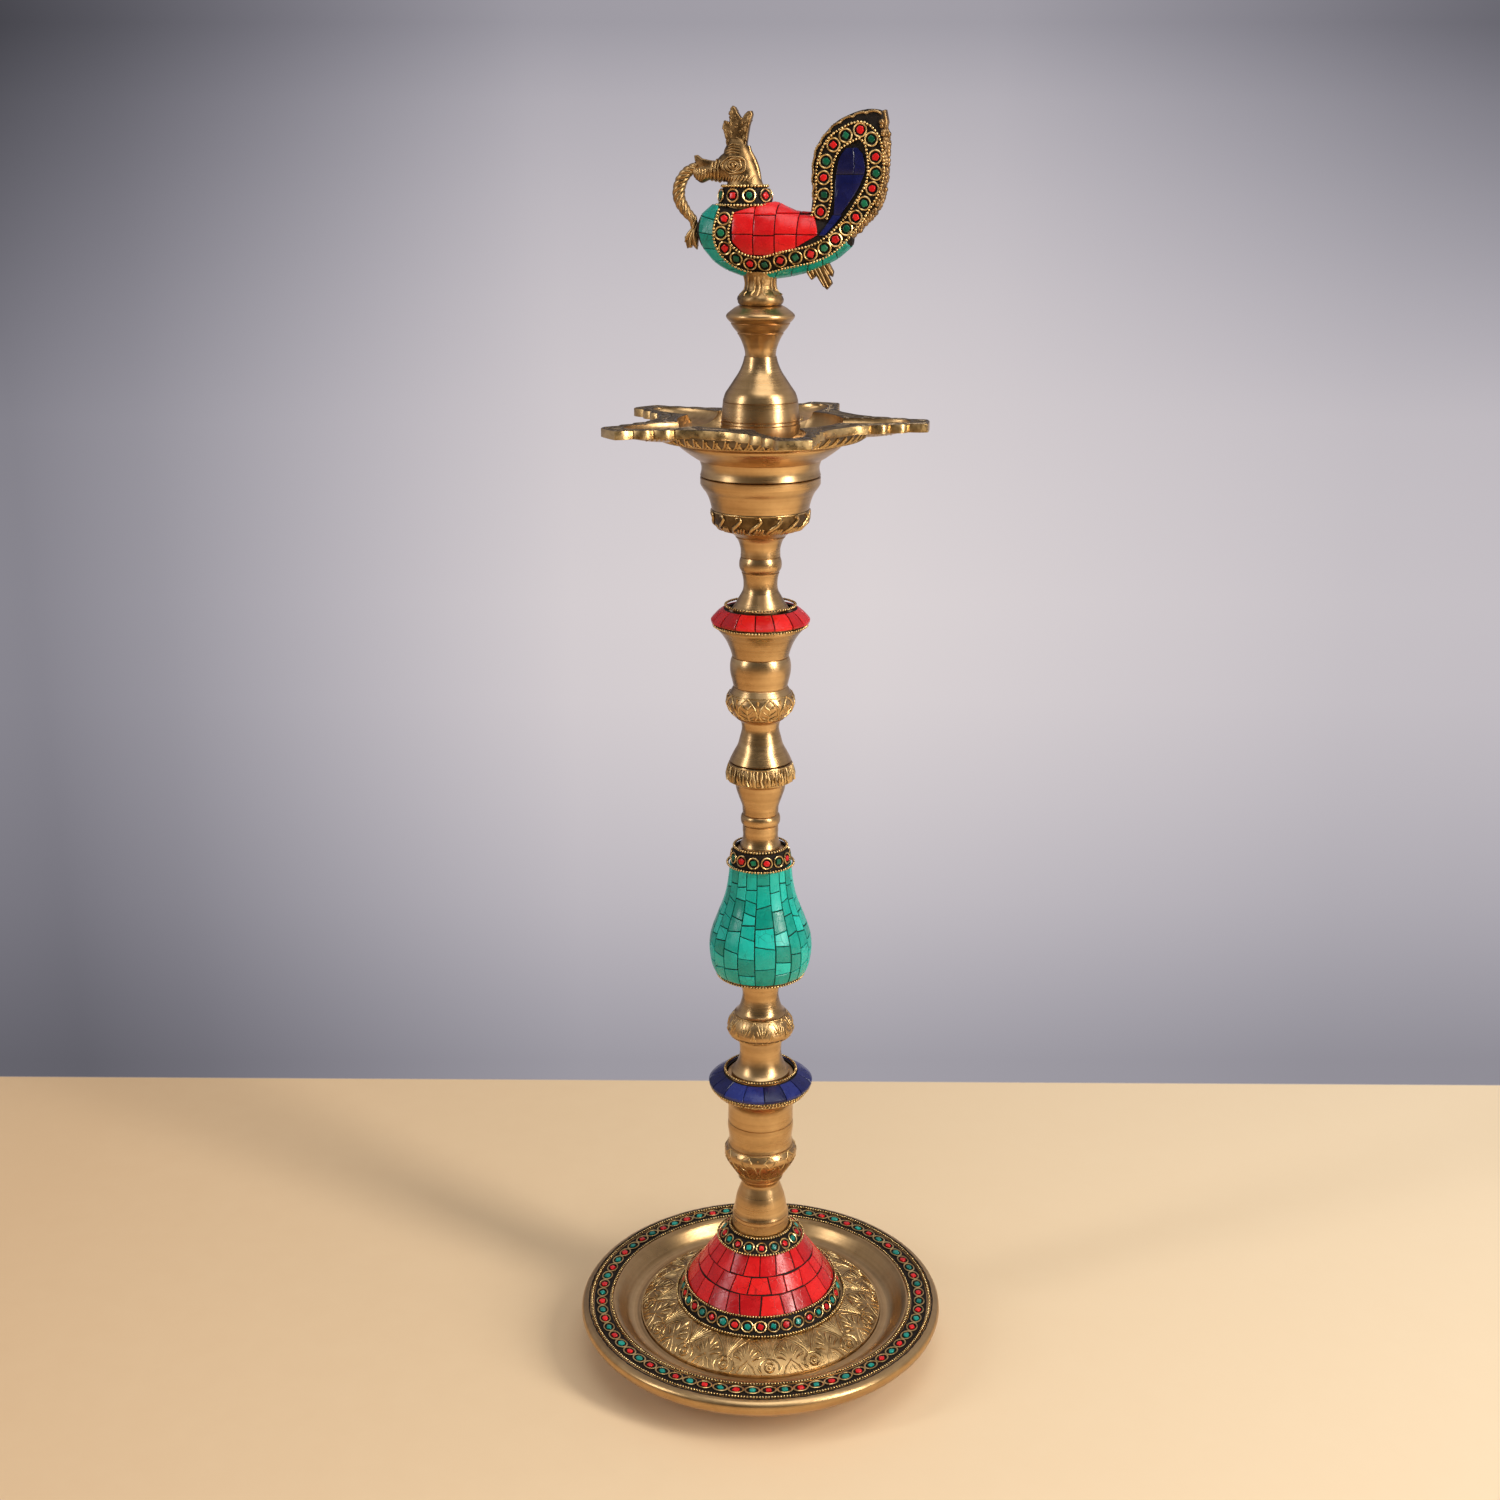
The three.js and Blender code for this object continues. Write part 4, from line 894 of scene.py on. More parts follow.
def leaf(veins):
    """A pointed leaf with a rib and veins that rise from it, drawn in one cell."""
    wide = 0.47
    side = tapered([(-wide * 0.7, 0), (-wide, 0.3), (-wide * 0.82, 0.6), (-wide * 0.4, 0.84), (0, 1)],
                   0.8)
    strokes = [side]
    for i in range(veins):
        foot = 0.06 + 0.76 * i / veins
        reach = wide * (0.78 - 0.45 * foot)
        strokes.append([(0, foot, 0.5), (-reach * 0.6, foot + 0.1, 0.8), (-reach, foot + 0.22, 0.4)])
    return both_sides(strokes) + [[(0, 0.02, 0.9), (0, 0.5, 0.9), (0, 0.96, 0.5)]]


def curled_leaf():
    """An S-shaped leaf that curls over, with three short lines behind it."""
    back = tapered([(-0.34, 0.02), (-0.36, 0.3), (-0.16, 0.52), (0.1, 0.66), (0.28, 0.82), (0.2, 0.96),
                    (0.02, 0.92)], 0.7)
    strokes = [back]
    for i in range(3):
        strokes.append([(-0.1 + 0.17 * i, 0.04, 0.6), (-0.04 + 0.17 * i, 0.26, 1.2),
                        (0.1 + 0.15 * i, 0.5, 0.5)])
    return strokes


def petal_line():
    """A drooping petal of the collar: wavy lines that run down like drops."""
    side = [(-0.44, 1, 0.5), (-0.4, 0.7, 1), (-0.47, 0.4, 1.2), (-0.36, 0.08, 1.5)]
    inner = [(-0.2, 0.96, 0.4), (-0.13, 0.66, 0.9), (-0.2, 0.36, 1.1), (-0.12, 0.05, 0.7)]
    return [side, inner, [(0.06, 1, 0.5), (0, 0.7, 0.9), (0.08, 0.4, 1.3), (0.12, 0.04, 1.2)],
            [(0.3, 0.98, 0.5), (0.26, 0.7, 0.8), (0.33, 0.36, 1), (0.3, 0.1, 0.6)]]


def chased_band(name, body, outline, low, high, node, motifs):
    """Leaf strokes over a stretch of a turned outline, with a fine ring above and below them."""
    skin = Skin(between(outline, low, high))
    strokes, cuts = [], []
    for count, motif, half, phase in motifs:
        lines, beside = chased_lines(skin, count, motif, half, phase)
        strokes += lines
        cuts += beside
    for share in (0, 1):
        strokes.append(ring_line(skin, share, 0, 0.3))
        cuts.append(ring_line(skin, share, -0.2, 0.42))
    # Strokes take the rubbed brass. The lines beside them are dark: partly patina, partly painted shade in
    # the grooves.
    fitted(raised(name, strokes, [rubbed, patina_and_painted_shade], cuts=cuts), body, "chased_brass", node)


def make_lower_stem():
    body = "lower_stem_section"
    side = Outline(12.8, 62.1).line(13.2, 0.4).line(13.1, 5.2).groove().line(13, 1.2).groove(0.6, 0.4)
    side.through([(12.3, 72), (11.7, 75.4), (11, 78.6), (9.7, 82.4), (8.7, 85.4), (9, 87), (10.3, 88.4)])
    side.groove(0.6, 0.4)
    side.through([(10.8, 90), (11.4, 91.8), (13.3, 94.6), (15.4, 98), (16.5, 101), (16.2, 103.4),
                  (14.8, 105.7)])
    side.groove(0.6, 0.5)
    side.through([(14.4, 108), (14.45, 110), (14.9, 113), (15.1, 115.2), (14.9, 117.6)]).groove(0.6, 0.35)
    side.line(14.85, 1.4).line(14.8, 4.4)
    side.through([(15.2, 126.6), (16.3, 129.4), (18.2, 131.8), (18.85, 133.2)]).line(18.9, 1.3)
    side.line(21.2, 0.05).line(21.4, 0.3).line(21.4, 1.1).line(21.2, 0.3).line(15.2).line(15.2, 4.7)
    side.line(14.9, 0.3)
    turned_section("lower_stem", body, side.points)
    chased_band("lower_stem_knop_leaves", body, side.points, 91.4, 105.6, "lower_stem",
                [(9, leaf(4), 0.4, 0.1), (9, [[(0, 0.45, 0.5), (0, 0.9, 1.3)]], 0.4, 0.1 + TURN / 18)])
    rope = []
    low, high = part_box("rope_trim")
    radius, height = high.x / MM - 0.71, (low.z + high.z) / 2 / MM
    for strand in range(2):
        line = []
        for i in range(577):
            angle = TURN * i / 576
            twist = 38 * angle + strand * pi
            spot = round_axis(radius + 0.42 * cos(twist), angle, height + 0.42 * sin(twist))
            line.append((spot, 0.5))
        rope.append(line)
    fitted(raised("rope_trim_twisted", rope, [rubbed]), body, "chased_brass", "rope_trim")


def stone_ring(node, body, skin, bed, count, gap, material, slot, ragged):
    """A domed ring of stone segments on a dark bed, with a beaded wire above and below."""
    bm = bmesh.new()
    turn(bm, bed, 96)
    start = chance.random()
    cuts = [start + TURN * (i + chance.uniform(-ragged, ragged)) / count for i in range(count)]
    leans = [chance.uniform(-ragged, ragged) * 0.25 * TURN / count for _ in range(count)]
    cuts.append(cuts[0] + TURN)
    leans.append(leans[0])
    side = gap / 2 / skin.points[0].x
    for a, b, lean_a, lean_b in zip(cuts, cuts[1:], leans, leans[1:]):
        corners = ((a + side - lean_a, 0), (b - side - lean_b, 0), (b - side * 1.3 + lean_b, 1),
                   (a + side * 1.3 + lean_a, 1))
        stamp(bm, tall_tile, laid(skin, corners, 0.12), 1, chance.uniform(0, 1))
    fitted(finished(bm, node + "_inlaid", [lac, material], 30), body, slot, node)
    bead_wire(node + "_top_bead_wire", body)
    bead_wire(node + "_under_bead_wire", body, 0.6)


def make_lapis_ring():
    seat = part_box("lapis_ring")[0].z / MM - 0.3
    outside = Outline(23.4, seat + 0.35).line(23.8, 0.7)
    outside.through([(23.5, seat + 1.8), (22.1, seat + 3), (19.7, seat + 4.5), (17, seat + 5.75)])
    bed = [(15.5, seat + 0.3), (22.9, seat + 0.3), (23.2, seat + 1), (22.8, seat + 1.6), (21.5, seat + 2.7),
           (19.2, seat + 4.1), (16.9, seat + 5.3), (15.5, seat + 5.4)]
    stone_ring("lapis_ring", "lower_stem_section", Skin(outside.points), bed, 15, 0.34, blue_stone,
               "blue_stone", 0.1)


def make_lotus_stem():
    body = "lotus_stem_section"
    side = Outline(12.9, 141.6).line(13.3, 0.3).line(13.3, 1)
    side.through([(11.9, 144.4), (10.4, 147.2), (9.5, 151), (9.45, 154.6), (9.9, 157.6), (10.2, 159)])
    side.groove(0.5, 0.35)
    side.through([(12.2, 160.5), (14.2, 161.8), (15, 163.2), (14.9, 165.2), (13.7, 168.6), (11.7, 171.2)])
    side.groove(0.5, 0.5)
    side.through([(10.4, 172.8), (9.3, 175), (8.3, 178.6), (8.1, 181), (8.4, 183.4), (8.8, 184.8)])
    side.line(8.8, 1.6).line(8.6, 0.2)
    turned_section("lotus_stem", body, side.points)
    point = both_sides([[(-0.5, 0.98, 0.7), (-0.26, 0.5, 1.1), (0, 0.04, 0.8)],
                        [(-0.3, 0.92, 0.5), (-0.16, 0.62, 1.1), (-0.05, 0.4, 0.5)]])
    point.append([(0, 0.95, 0.5), (0, 0.6, 1.3), (0, 0.3, 0.5)])
    between_points = [[(0, 0.04, 0.5), (0, 0.3, 1.2), (0, 0.6, 0.5)],
                      *both_sides([[(-0.2, 0.06, 0.5), (-0.11, 0.28, 1), (-0.05, 0.44, 0.4)]])]
    chased_band("lotus_stem_knop_leaves", body, side.points, 161.4, 171.2, "lotus_stem",
                [(11, point, 0.4, 0.2), (11, between_points, 0.36, 0.2 + TURN / 22)])


def make_pear():
    body = "pear_section"
    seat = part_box("pear_core")[0].z / MM
    core = Outline(9.3, seat).line(9.3, 1.8).line(18.4, 2.1)
    core.through([(20.3, 196), (21.1, 204.5), (20.3, 211), (17.2, 219.7), (14.9, 225.5), (13.2, 231),
                  (11.8, 243.4)])
    core.line(11.8, 0.7).line(10.7, seat + 63.8 - core.points[-1][1] - 0.7)
    turned_section("pear_core", body, core.points)
    side = Outline(20.3, 192.6)
    side.through([(21.3, 194.6), (22, 196.8), (22.7, 201), (22.9, 205), (22.4, 210), (21, 214.4),
                  (19, 219.8), (16.7, 225.6), (15.2, 231), (14.2, 237), (13.6, 243.8)], 4)
    inner = [(radius - 1.5, height) for radius, height in reversed(side.points)]
    bed = [(radius - 0.5, height) for radius, height in side.points]
    bm = bmesh.new()
    turn(bm, bed + inner, 96)
    columned(bm, Skin(side.points), 19, 7.6, 0.55)
    fitted(finished(bm, "pear_turquoise_chips", [lac, turquoise], 30), body, "turquoise_stone",
           "pear_turquoise_mosaic")
    collar = Skin([(13.6, 244.1), (12.5, 250.7)])
    bed = [(12.1, 244.1), (13.2, 244.1), (12.1, 250.7), (11, 250.7)]
    cell_band("pear_collar_stone_band", body, collar, 14, 2.4, bed, FRONT + radians(11.9),
              greens=green_stone)
    under = Skin([(9.8, 187), (18.4, 191.9)])
    bm = bmesh.new()
    turn(bm, [(9.6, 187.3), (18.4, 192), (17.6, 192), (9.6, 188.6)], 96)
    for i in range(16):
        set_cell(bm, under.frame(FRONT + TURN * (i + 0.5) / 16, 0.55, -0.1), 2.3, 2 + i % 2, 1.2)
    fitted(finished(bm, "pear_foot_stone_band_set", [lac, bright, red_stone, green_stone], 50), body,
           "cell_band", "pear_foot_stone_band")
    bead_wire("pear_foot_bead_wire", body)
    bead_wire("collar_lower_bead_wire", body)
    bead_wire("collar_top_bead_wire", body)


def make_neck_segment():
    body = "neck_section"
    side = Outline(8.7, 251).line(9, 0.3).line(8.9, 0.9)
    side.through([(8.2, 253.8), (7.7, 256.4), (7.85, 259), (7.8, 261.4)]).groove(0.4, 0.3).bead(0.9, 4.6)
    side.groove(0.4, 0.3)
    side.through([(7.9, 269), (8.1, 270.6), (9.3, 274), (10.5, 277.6), (10.9, 279.8)]).line(11, 0.6)
    side.through([(13, 281.8), (14.6, 283.2), (14.5, 285), (14.1, 287.6), (13.6, 289.8)]).line(13.4, 0.5)
    turned_section("neck_segment", body, side.points)
    chased_band("neck_collar_petals", body, side.points, 282.6, 289.9, "neck_segment",
                [(14, petal_line(), 0.6, 0)])


def make_leaf_stem():
    body = "leaf_stem_section"
    side = Outline(13, 290.6).line(13.4, 0.5)
    side.through([(12.7, 292.6), (11.7, 294.6), (9.9, 298), (8.9, 301.6), (8.1, 305), (8.2, 307.2),
                  (8.8, 309), (10.4, 310.2)])
    side.groove(0.5, 0.35)
    side.through([(12.9, 313.2), (14.2, 315.8), (14.6, 317.8), (14.2, 319.8), (13.1, 321.9), (11.7, 324.2)])
    side.groove(0.5, 0.4)
    side.through([(12.2, 327), (12.9, 330), (13.1, 333), (12.8, 335.6), (12.2, 337.4)]).groove(0.5, 0.4)
    side.through([(12.9, 340.4), (14.4, 344), (16.4, 347.2), (18.2, 349.4)]).line(18.4, 0.6).line(18.9, 0.1)
    side.line(18.9, 2.3).line(13.9).line(13.9, 4.4).line(13.6, 0.3)
    turned_section("leaf_stem", body, side.points)
    chased_band("leaf_stem_knop_leaves", body, side.points, 311.4, 321.6, "leaf_stem",
                [(9, leaf(3), 0.55, 0.1), (9, [[(0, 0.4, 0.5), (0, 0.92, 1.4)]], 0.6, 0.1 + TURN / 18)])
    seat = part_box("coral_ring")[0].z / MM - 0.3
    outside = Outline(20.9, seat + 0.35).line(21.3, 0.6)
    outside.through([(21, seat + 1.7), (19.7, seat + 3.2), (18, seat + 4.9), (15.9, seat + 6.3)])
    bed = [(14.2, seat + 0.3), (20.4, seat + 0.3), (20.7, seat + 0.9), (20.2, seat + 1.8), (18.6, seat + 3.7),
           (17, seat + 5.1), (15.6, seat + 5.9), (14.2, seat + 6)]
    stone_ring("coral_ring", body, Skin(outside.points), bed, 16, 0.5, red_stone, "red_stone", 0.12)


def make_bowl_stem():
    body = "bowl_stem_section"
    side = Outline(11.7, 357.5).line(12, 0.3).line(12, 0.7)
    side.through([(10.9, 360), (9.2, 363), (7.6, 366), (7.2, 368.4), (7.4, 371.4), (8, 373.8)])
    side.groove(0.4, 0.3)
    side.through([(8.9, 376), (8.95, 378.4), (8.4, 380.4)]).groove(0.4, 0.3)
    side.through([(8.4, 384), (9.3, 387.2), (10.5, 389)]).groove(0.4, 0.3)
    side.through([(13.5, 391.6), (17, 393.2), (19.3, 395), (20.2, 397.6), (20.4, 400.4)]).groove(0.5, 0.4)
    side.through([(20.8, 402.8), (21.5, 405.2), (22.7, 407.8), (24.2, 409.8), (25.1, 411.4)]).line(25.1, 2.6)
    side.line(24.8, 0.3)
    turned_section("bowl_stem", body, side.points, dark=((391.8, 400.6),))
    chased_band("bowl_stem_cup_leaves", body, side.points, 392, 400.4, "bowl_stem",
                [(15, curled_leaf(), 0.9, 0)])


def make_vase():
    body = "vase"
    side = Outline(15.2, 424.4)
    side.through([(16.1, 426.8), (16.7, 430), (16.6, 433), (16.3, 436)]).groove(0.5, 0.3).line(16.2, 0.9)
    side.groove(0.5, 0.3)
    side.through([(15.9, 441), (15.5, 445)]).groove(0.4, 0.25)
    side.through([(14.5, 448.4), (12.9, 450.8), (10.9, 453.8), (8.8, 457), (7.3, 460.4), (6.6, 463.2)])
    side.line(6.3, 0.25)
    side.through([(6.4, 464.9), (6.9, 467), (8.1, 470), (9.5, 472.4)]).groove(0.4, 0.25)
    side.through([(10.9, 474.4), (12.1, 476.2)]).groove(0.4, 0.25)
    side.through([(13.3, 477.8), (14, 479), (13.7, 480), (12.6, 481), (10.6, 482.5)])
    side.line(8.9, 483.4 - side.points[-1][1])
    turned_section("finial_vase", body, side.points)


def make_studs():
    for node in frame["nodes"]:
        if node.endswith("_stud"):
            threaded_stud(node, frame["nodes"][node]["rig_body"])


# -------------------- star bowl

SPOUTS = 5
SPOUT_TURNS = [radians(-7) + TURN * i / SPOUTS for i in range(SPOUTS)]
MOUTH = 43.5  # from the axis to the middle of a notch
REACH = 69  # from the axis to the corners of a spout's tip
POOL = 34.5  # the radius of the round hollow's mouth
WELL = 40  # from the axis to the middle of a spout's hollow
LONG, WIDE, DEEP = 22, 9.5, 5.2  # half the length, half the width and the depth of that hollow
KEEL = 2.4  # the metal round it
BRIM = 23.1  # the level of its mouth over the bowl's foot
FLANGE_UNDER, FLANGE_TOP = 19.5, 23  # the flange's two sides over the bowl's foot
CUT_OFF = 19.9  # the level where the body and the keels end, inside the flange


def combined(bm, operands, materials):
    """Adds or cuts solids one after another. Each operand is a kind and the bmesh of its solid."""
    whole = bpy.data.objects.new("whole", as_mesh(bm, "whole"))
    bpy.context.scene.collection.objects.link(whole)
    tools = []
    for kind, solid in operands:
        tool = bpy.data.objects.new("tool", as_mesh(solid, "tool"))
        bpy.context.scene.collection.objects.link(tool)
        tools.append(tool)
        cut = whole.modifiers.new(kind, "BOOLEAN")
        cut.operation = kind
        cut.object = tool
        cut.solver = "EXACT"
    for piece in [whole, *tools]:
        for material in materials:
            piece.data.materials.append(material)
    bpy.context.view_layer.update()
    made = bpy.data.meshes.new_from_object(whole.evaluated_get(bpy.context.evaluated_depsgraph_get()))
    result = bmesh.new()
    result.from_mesh(made)
    for piece in [whole, *tools]:
        bpy.data.objects.remove(piece)
    return result


def painted(bm, material):
    """Gives every face one of the piece's materials."""
    for face in bm.faces:
        face.material_index = material


def spout_edge():
    """Half of a spout's edge, from the middle of a notch to the blunt tip, cut in curved steps."""
    half = pi / SPOUTS
    corner = Vector((MOUTH * cos(half), MOUTH * sin(half)))
    points = [corner]
    for step in (3, 2, 1):
        x = REACH - 7.5 * step
        y = 6.5 + 3.2 * step
        end = Vector((x - 1.6, y))
        start = points[-1]
        bulge = Vector((0.35, 0.8)) if step < 3 else Vector((-0.5, -0.9))
        points += [start.lerp(end, t) + bulge * sin(pi * t) for t in (0.25, 0.5, 0.75)]
        points += [end, Vector((x, y - 2.56))]
    end = Vector((REACH, 6.5))
    start = points[-1]
    points += [start.lerp(end, t) + Vector((0.3, 0.7)) * sin(pi * t) for t in (0.25, 0.5, 0.75)]
    points.append(end)
    points.append(Vector((REACH + 0.4, 3.2)))
    return points


def star_edge():
    """The whole edge of the flange."""
    edge = spout_edge()
    spout = [Vector((p.x, -p.y)) for p in edge] + list(reversed(edge))
    points = []
    for turned in SPOUT_TURNS:
        points += [Matrix.Rotation(turned, 2) @ p for p in spout[1:]]
    return points


def mouth_reach(angle):
    """How far the mouth of the oil space reaches from the axis on the flange's top, at an angle."""
    best = POOL
    for turned in SPOUT_TURNS:
        apart = (angle - turned + pi) % TURN - pi
        if abs(apart) > 1.2:
            continue
        c, s = cos(apart), sin(apart)
        a = (c / LONG) ** 2 + (s / WIDE) ** 2
        b = -2 * WELL * c / LONG ** 2
        under = b * b - 4 * a * ((WELL / LONG) ** 2 - 1)
        if under > 0:
            best = max(best, (-b + sqrt(under)) / 2 / a)
    return best


def edge_reach(angle, edge):
    """How far the flange reaches from the axis at an angle."""
    way = Vector((cos(angle), sin(angle)))
    far = 0
    for a, b in zip(edge, edge[1:] + edge[:1]):
        side = b - a
        cross = way.x * side.y - way.y * side.x
        if abs(cross) < 1e-9:
            continue
        t = (a.x * side.y - a.y * side.x) / cross
        u = (a.x * way.y - a.y * way.x) / cross
        if t > 0 and 0 <= u <= 1:
            far = max(far, t)
    return far


def boat(angle, grow, seat):
    """A spout's hollow as a solid. Grown by the metal round it, it is the keel."""
    bm = bmesh.new()
    made = bmesh.ops.create_uvsphere(bm, u_segments=48, v_segments=24, radius=MM)["verts"]
    foot = Matrix.Translation((0, 0, seat * MM)) @ Matrix.Rotation(angle, 4, "Z")
    middle = foot @ Matrix.Translation((WELL * MM, 0, BRIM * MM))
    size = Matrix.Diagonal((LONG + grow, WIDE + grow, DEEP + grow * 0.6, 1))
    bmesh.ops.transform(bm, matrix=middle @ size, verts=made)
    return bm


def make_bowl():
    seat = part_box("star_bowl")[0].z / MM
    under = Outline(0, seat).line(24.6).line(25.1, 0.4).line(24.6, 1.8).line(24.5, 1.8)
    under.line(25.3, 2.6).line(27.2, 1.1)
    under.through([(30.6, seat + 10), (33.4, seat + 12.2), (34.2, seat + 13.4)]).groove(0.5, 0.3)
    under.through([(37, seat + 14.9), (39.8, seat + 15.6)]).line(41.7, 0.1)
    under.through([(43.4, seat + 17), (44.6, seat + 18.5), (45.7, seat + CUT_OFF)]).line(0)
    body = bmesh.new()
    turn(body, under.points, 128)
    for face in body.faces:
        if face.calc_center_median().xy.length > 41.5 * MM:
            face.material_index = 1
    keels = []
    for turned in SPOUT_TURNS:
        keel = boat(turned, KEEL, seat)
        bmesh.ops.bisect_plane(keel, geom=keel.verts[:] + keel.edges[:] + keel.faces[:], dist=1e-7,
                               plane_co=(0, 0, (seat + CUT_OFF) * MM), plane_no=(0, 0, 1), clear_outer=True)
        bmesh.ops.holes_fill(keel, edges=[e for e in keel.edges if e.is_boundary])
        keels.append(("UNION", keel))
    flange = bmesh.new()
    outline = star_edge()
    low = (seat + FLANGE_UNDER) * MM
    face = flange.faces.new([flange.verts.new((p.x * MM, p.y * MM, low)) for p in outline])
    extruded(flange, [face], (0, 0, (FLANGE_TOP - FLANGE_UNDER) * MM))
    bmesh.ops.recalc_face_normals(flange, faces=flange.faces)
    for face in flange.faces:
        face.material_index = 1 if abs(face.normal.z) > 0.5 else 2
    softened(flange, [e for e in flange.edges if all(v.co.z > low + 2 * MM for v in e.verts)], 0.3)
    space = bmesh.new()
    floor = Outline(0, seat + 9.5).line(18)
    floor.through([(23.4, seat + 9.9), (27.8, seat + 11.2), (30.6, seat + 13), (32.1, seat + 14.5)])
    floor.line(POOL, 5).line(POOL, 6).line(0)
    turn(space, floor.points, 128)
    painted(space, 3)
    cuts = [("DIFFERENCE", space)]
    for turned in SPOUT_TURNS:
        channel = boat(turned, 0, seat)
        painted(channel, 3)
        cuts.append(("DIFFERENCE", channel))
    bore = bmesh.new()
    turn(bore, [(0, seat - 5), (BORE, seat - 5), (BORE, seat + 15), (0, seat + 15)], 48)
    cuts.append(("DIFFERENCE", bore))
    materials = [satin, aged, rubbed, dish_satin]
    whole = combined(body, [*keels, ("UNION", flange), *cuts], materials)
    fitted(finished(whole, "star_bowl_cast", materials, 32), "bowl", "chased_brass", "star_bowl")
    chase_flange(seat, outline)
    chase_underside(seat)


def chase_flange(seat, outline):
    """Leaf strokes over the flange's top from the mouth to the edge, that lean one way and then the other."""
    top = seat + FLANGE_TOP
    strokes = []
    steps = 220
    for i in range(steps):
        angle = TURN * i / steps
        inner, outer = mouth_reach(angle) + 0.7, edge_reach(angle, outline) - 0.8
        if outer - inner < 1.2:
            continue
        lean = 0.055 if i % 22 < 11 else -0.055
        bands = max(1, round((outer - inner) / 4.6))
        for band in range(bands):
            a = inner + (outer - inner) * (band + 0.08) / bands
            b = inner + (outer - inner) * (band + 0.92) / bands
            way = lean if band % 2 == 0 else -lean
            stroke = []
            for t in (0, 0.25, 0.5, 0.75, 1):
                radius = a + (b - a) * t
                turned = angle + way * (t - 0.5) * (b - a) / 4 * 34 / radius
                stroke.append((round_axis(radius, turned, top), (0.12, 0.3, 0.34, 0.3, 0.12)[round(t * 4)]))
            strokes.append(stroke)
    for lift, inside in ((0.5, True), (0.7, False)):
        ring = []
        for i in range(361):
            angle = TURN * i / 360
            radius = mouth_reach(angle) + lift if inside else edge_reach(angle, outline) - lift
            ring.append((round_axis(radius, angle, top), 0.26))
        strokes.append(ring)
    fitted(raised("star_bowl_flange_leaves", strokes, [aged]), "bowl", "chased_brass", "star_bowl")


def chase_underside(seat):
    """A leafy moulding under the flange's root, and strokes across the keel of every spout."""
    skin = Skin([(41.9, seat + 15.8), (43.5, seat + 17), (44.7, seat + 18.5), (45.8, seat + 19.8)])
    strokes = leaves_on(skin, 60, [[(-0.44, 0.05, 0.8), (-0.1, 0.4, 1.2), (0.1, 0.95, 0.6)],
                                   [(-0.1, 0.02, 0.7), (0.12, 0.34, 1.1), (0.32, 0.8, 0.5)],
                                   [(0.38, 0.04, 0.7), (0.24, 0.4, 1), (0.12, 0.7, 0.5)]], 0.5)
    strokes.append(ring_line(skin, 0, 0, 0.4, 96))
    for turned in SPOUT_TURNS:
        for along in range(-3, 12):
            x = 1.75 * along
            for side in (-1, 1):
                stroke = []
                for z in (3.8, 4.4, 5):
                    share = 1 - (x / (LONG + KEEL)) ** 2 - (z / (DEEP + KEEL * 0.6)) ** 2
                    if share <= 0.02:
                        continue
                    y = side * (WIDE + KEEL) * sqrt(share)
                    point = Vector((WELL + x, y, seat + BRIM - z)) * MM
                    stroke.append((Matrix.Rotation(turned, 3, "Z") @ point, 0.42))
                if len(stroke) == 3:
                    strokes.append(stroke)
    fitted(raised("star_bowl_fringe", strokes, [rubbed]), "bowl", "chased_brass", "star_bowl")


# -------------------- peacock

# The bird is drawn in its own middle plane: x from head to tail, then height over the belly's lowest point.

PEDESTAL = 9.6  # the height of the stump under the belly
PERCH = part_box("peacock_casting")[0].z / MM + PEDESTAL
BIRD = Matrix.Translation((0, 0, PERCH * MM)) @ Matrix.Rotation(radians(-15), 4, "Z")

BODY_HALF = 10.5  # half the body's width where it is widest
# The body at places from breast to rump: x, lowest point, highest point and share of the widest half. Then
# the tail's outline, the middles of the jewelled band's cells, and the line that the band runs along.
BODY = [(-26, 16, 23, 0.3), (-23, 10.5, 27.5, 0.72), (-16, 4.2, 31, 0.95), (-6, 0.6, 32, 1), (5, 0, 31, 1),
        (15, 1.6, 27, 0.9), (25, 4.6, 26, 0.7), (34, 9.5, 24, 0.5), (38, 13, 22, 0.36)]
TAIL = [(22, 18), (22, 33), (21.6, 42), (22.8, 49.5), (26, 55), (31, 60), (37, 63), (43, 64.6), (50.6, 64),
        (51.4, 58), (52.4, 50), (52.2, 41), (51, 34), (50, 28), (46, 24), (40, 19), (34, 13.5)]
CELLS = [(-12.7, 23.9), (-13.7, 18.4), (-12.2, 12.6), (-7.7, 8.5), (-2.1, 6.5), (3.9, 6.2), (10.3, 7.9),
         (16.5, 9.2), (22.4, 10.5), (27.8, 12.8), (32, 16), (36, 20.2), (39.7, 24.6), (43, 29.8),
         (46.2, 35.3), (47.5, 41), (47.2, 47.1), (45.5, 53.6), (41, 57), (35.3, 55), (30.5, 51.6),
         (27.5, 45.5), (26.7, 39.4), (26.9, 32.9), (25.6, 26.6)]
BAND = smooth_path([(-12.2, 26.6), *CELLS, (25.2, 24.6)], 5)
TAIL_HALF = 4.3  # half the tail's thickness


def station(x):
    """The body's lowest and highest point and its half width at x."""
    x = min(max(x, BODY[0][0]), BODY[-1][0])
    a, b = next((a, b) for a, b in zip(BODY, BODY[1:]) if x <= b[0])
    t = (x - a[0]) / (b[0] - a[0])
    low, high, width = (a[k] + (b[k] - a[k]) * t for k in (1, 2, 3))
    return low, high, BODY_HALF * width


def half_width(x, h):
    """Half the thickness of the body and the tail together, at x and a height."""
    low, high, half = station(x)
    off = (h - (low + high) / 2) / ((high - low) / 2)
    body = half * sqrt(max(0, 1 - off * off))
    tail = TAIL_HALF * min(1, max(0, (x - 19) / 3)) if h > 13 else 0
    blend = max(1.2 - abs(body - tail), 0) / 1.2
    return max(body, tail) + 0.3 * blend * blend * min(tail, 1)


def on_bird(x, y, h):
    """A place on the bird, with y across it to its right."""
    return BIRD @ (Vector((x, y, h)) * MM)


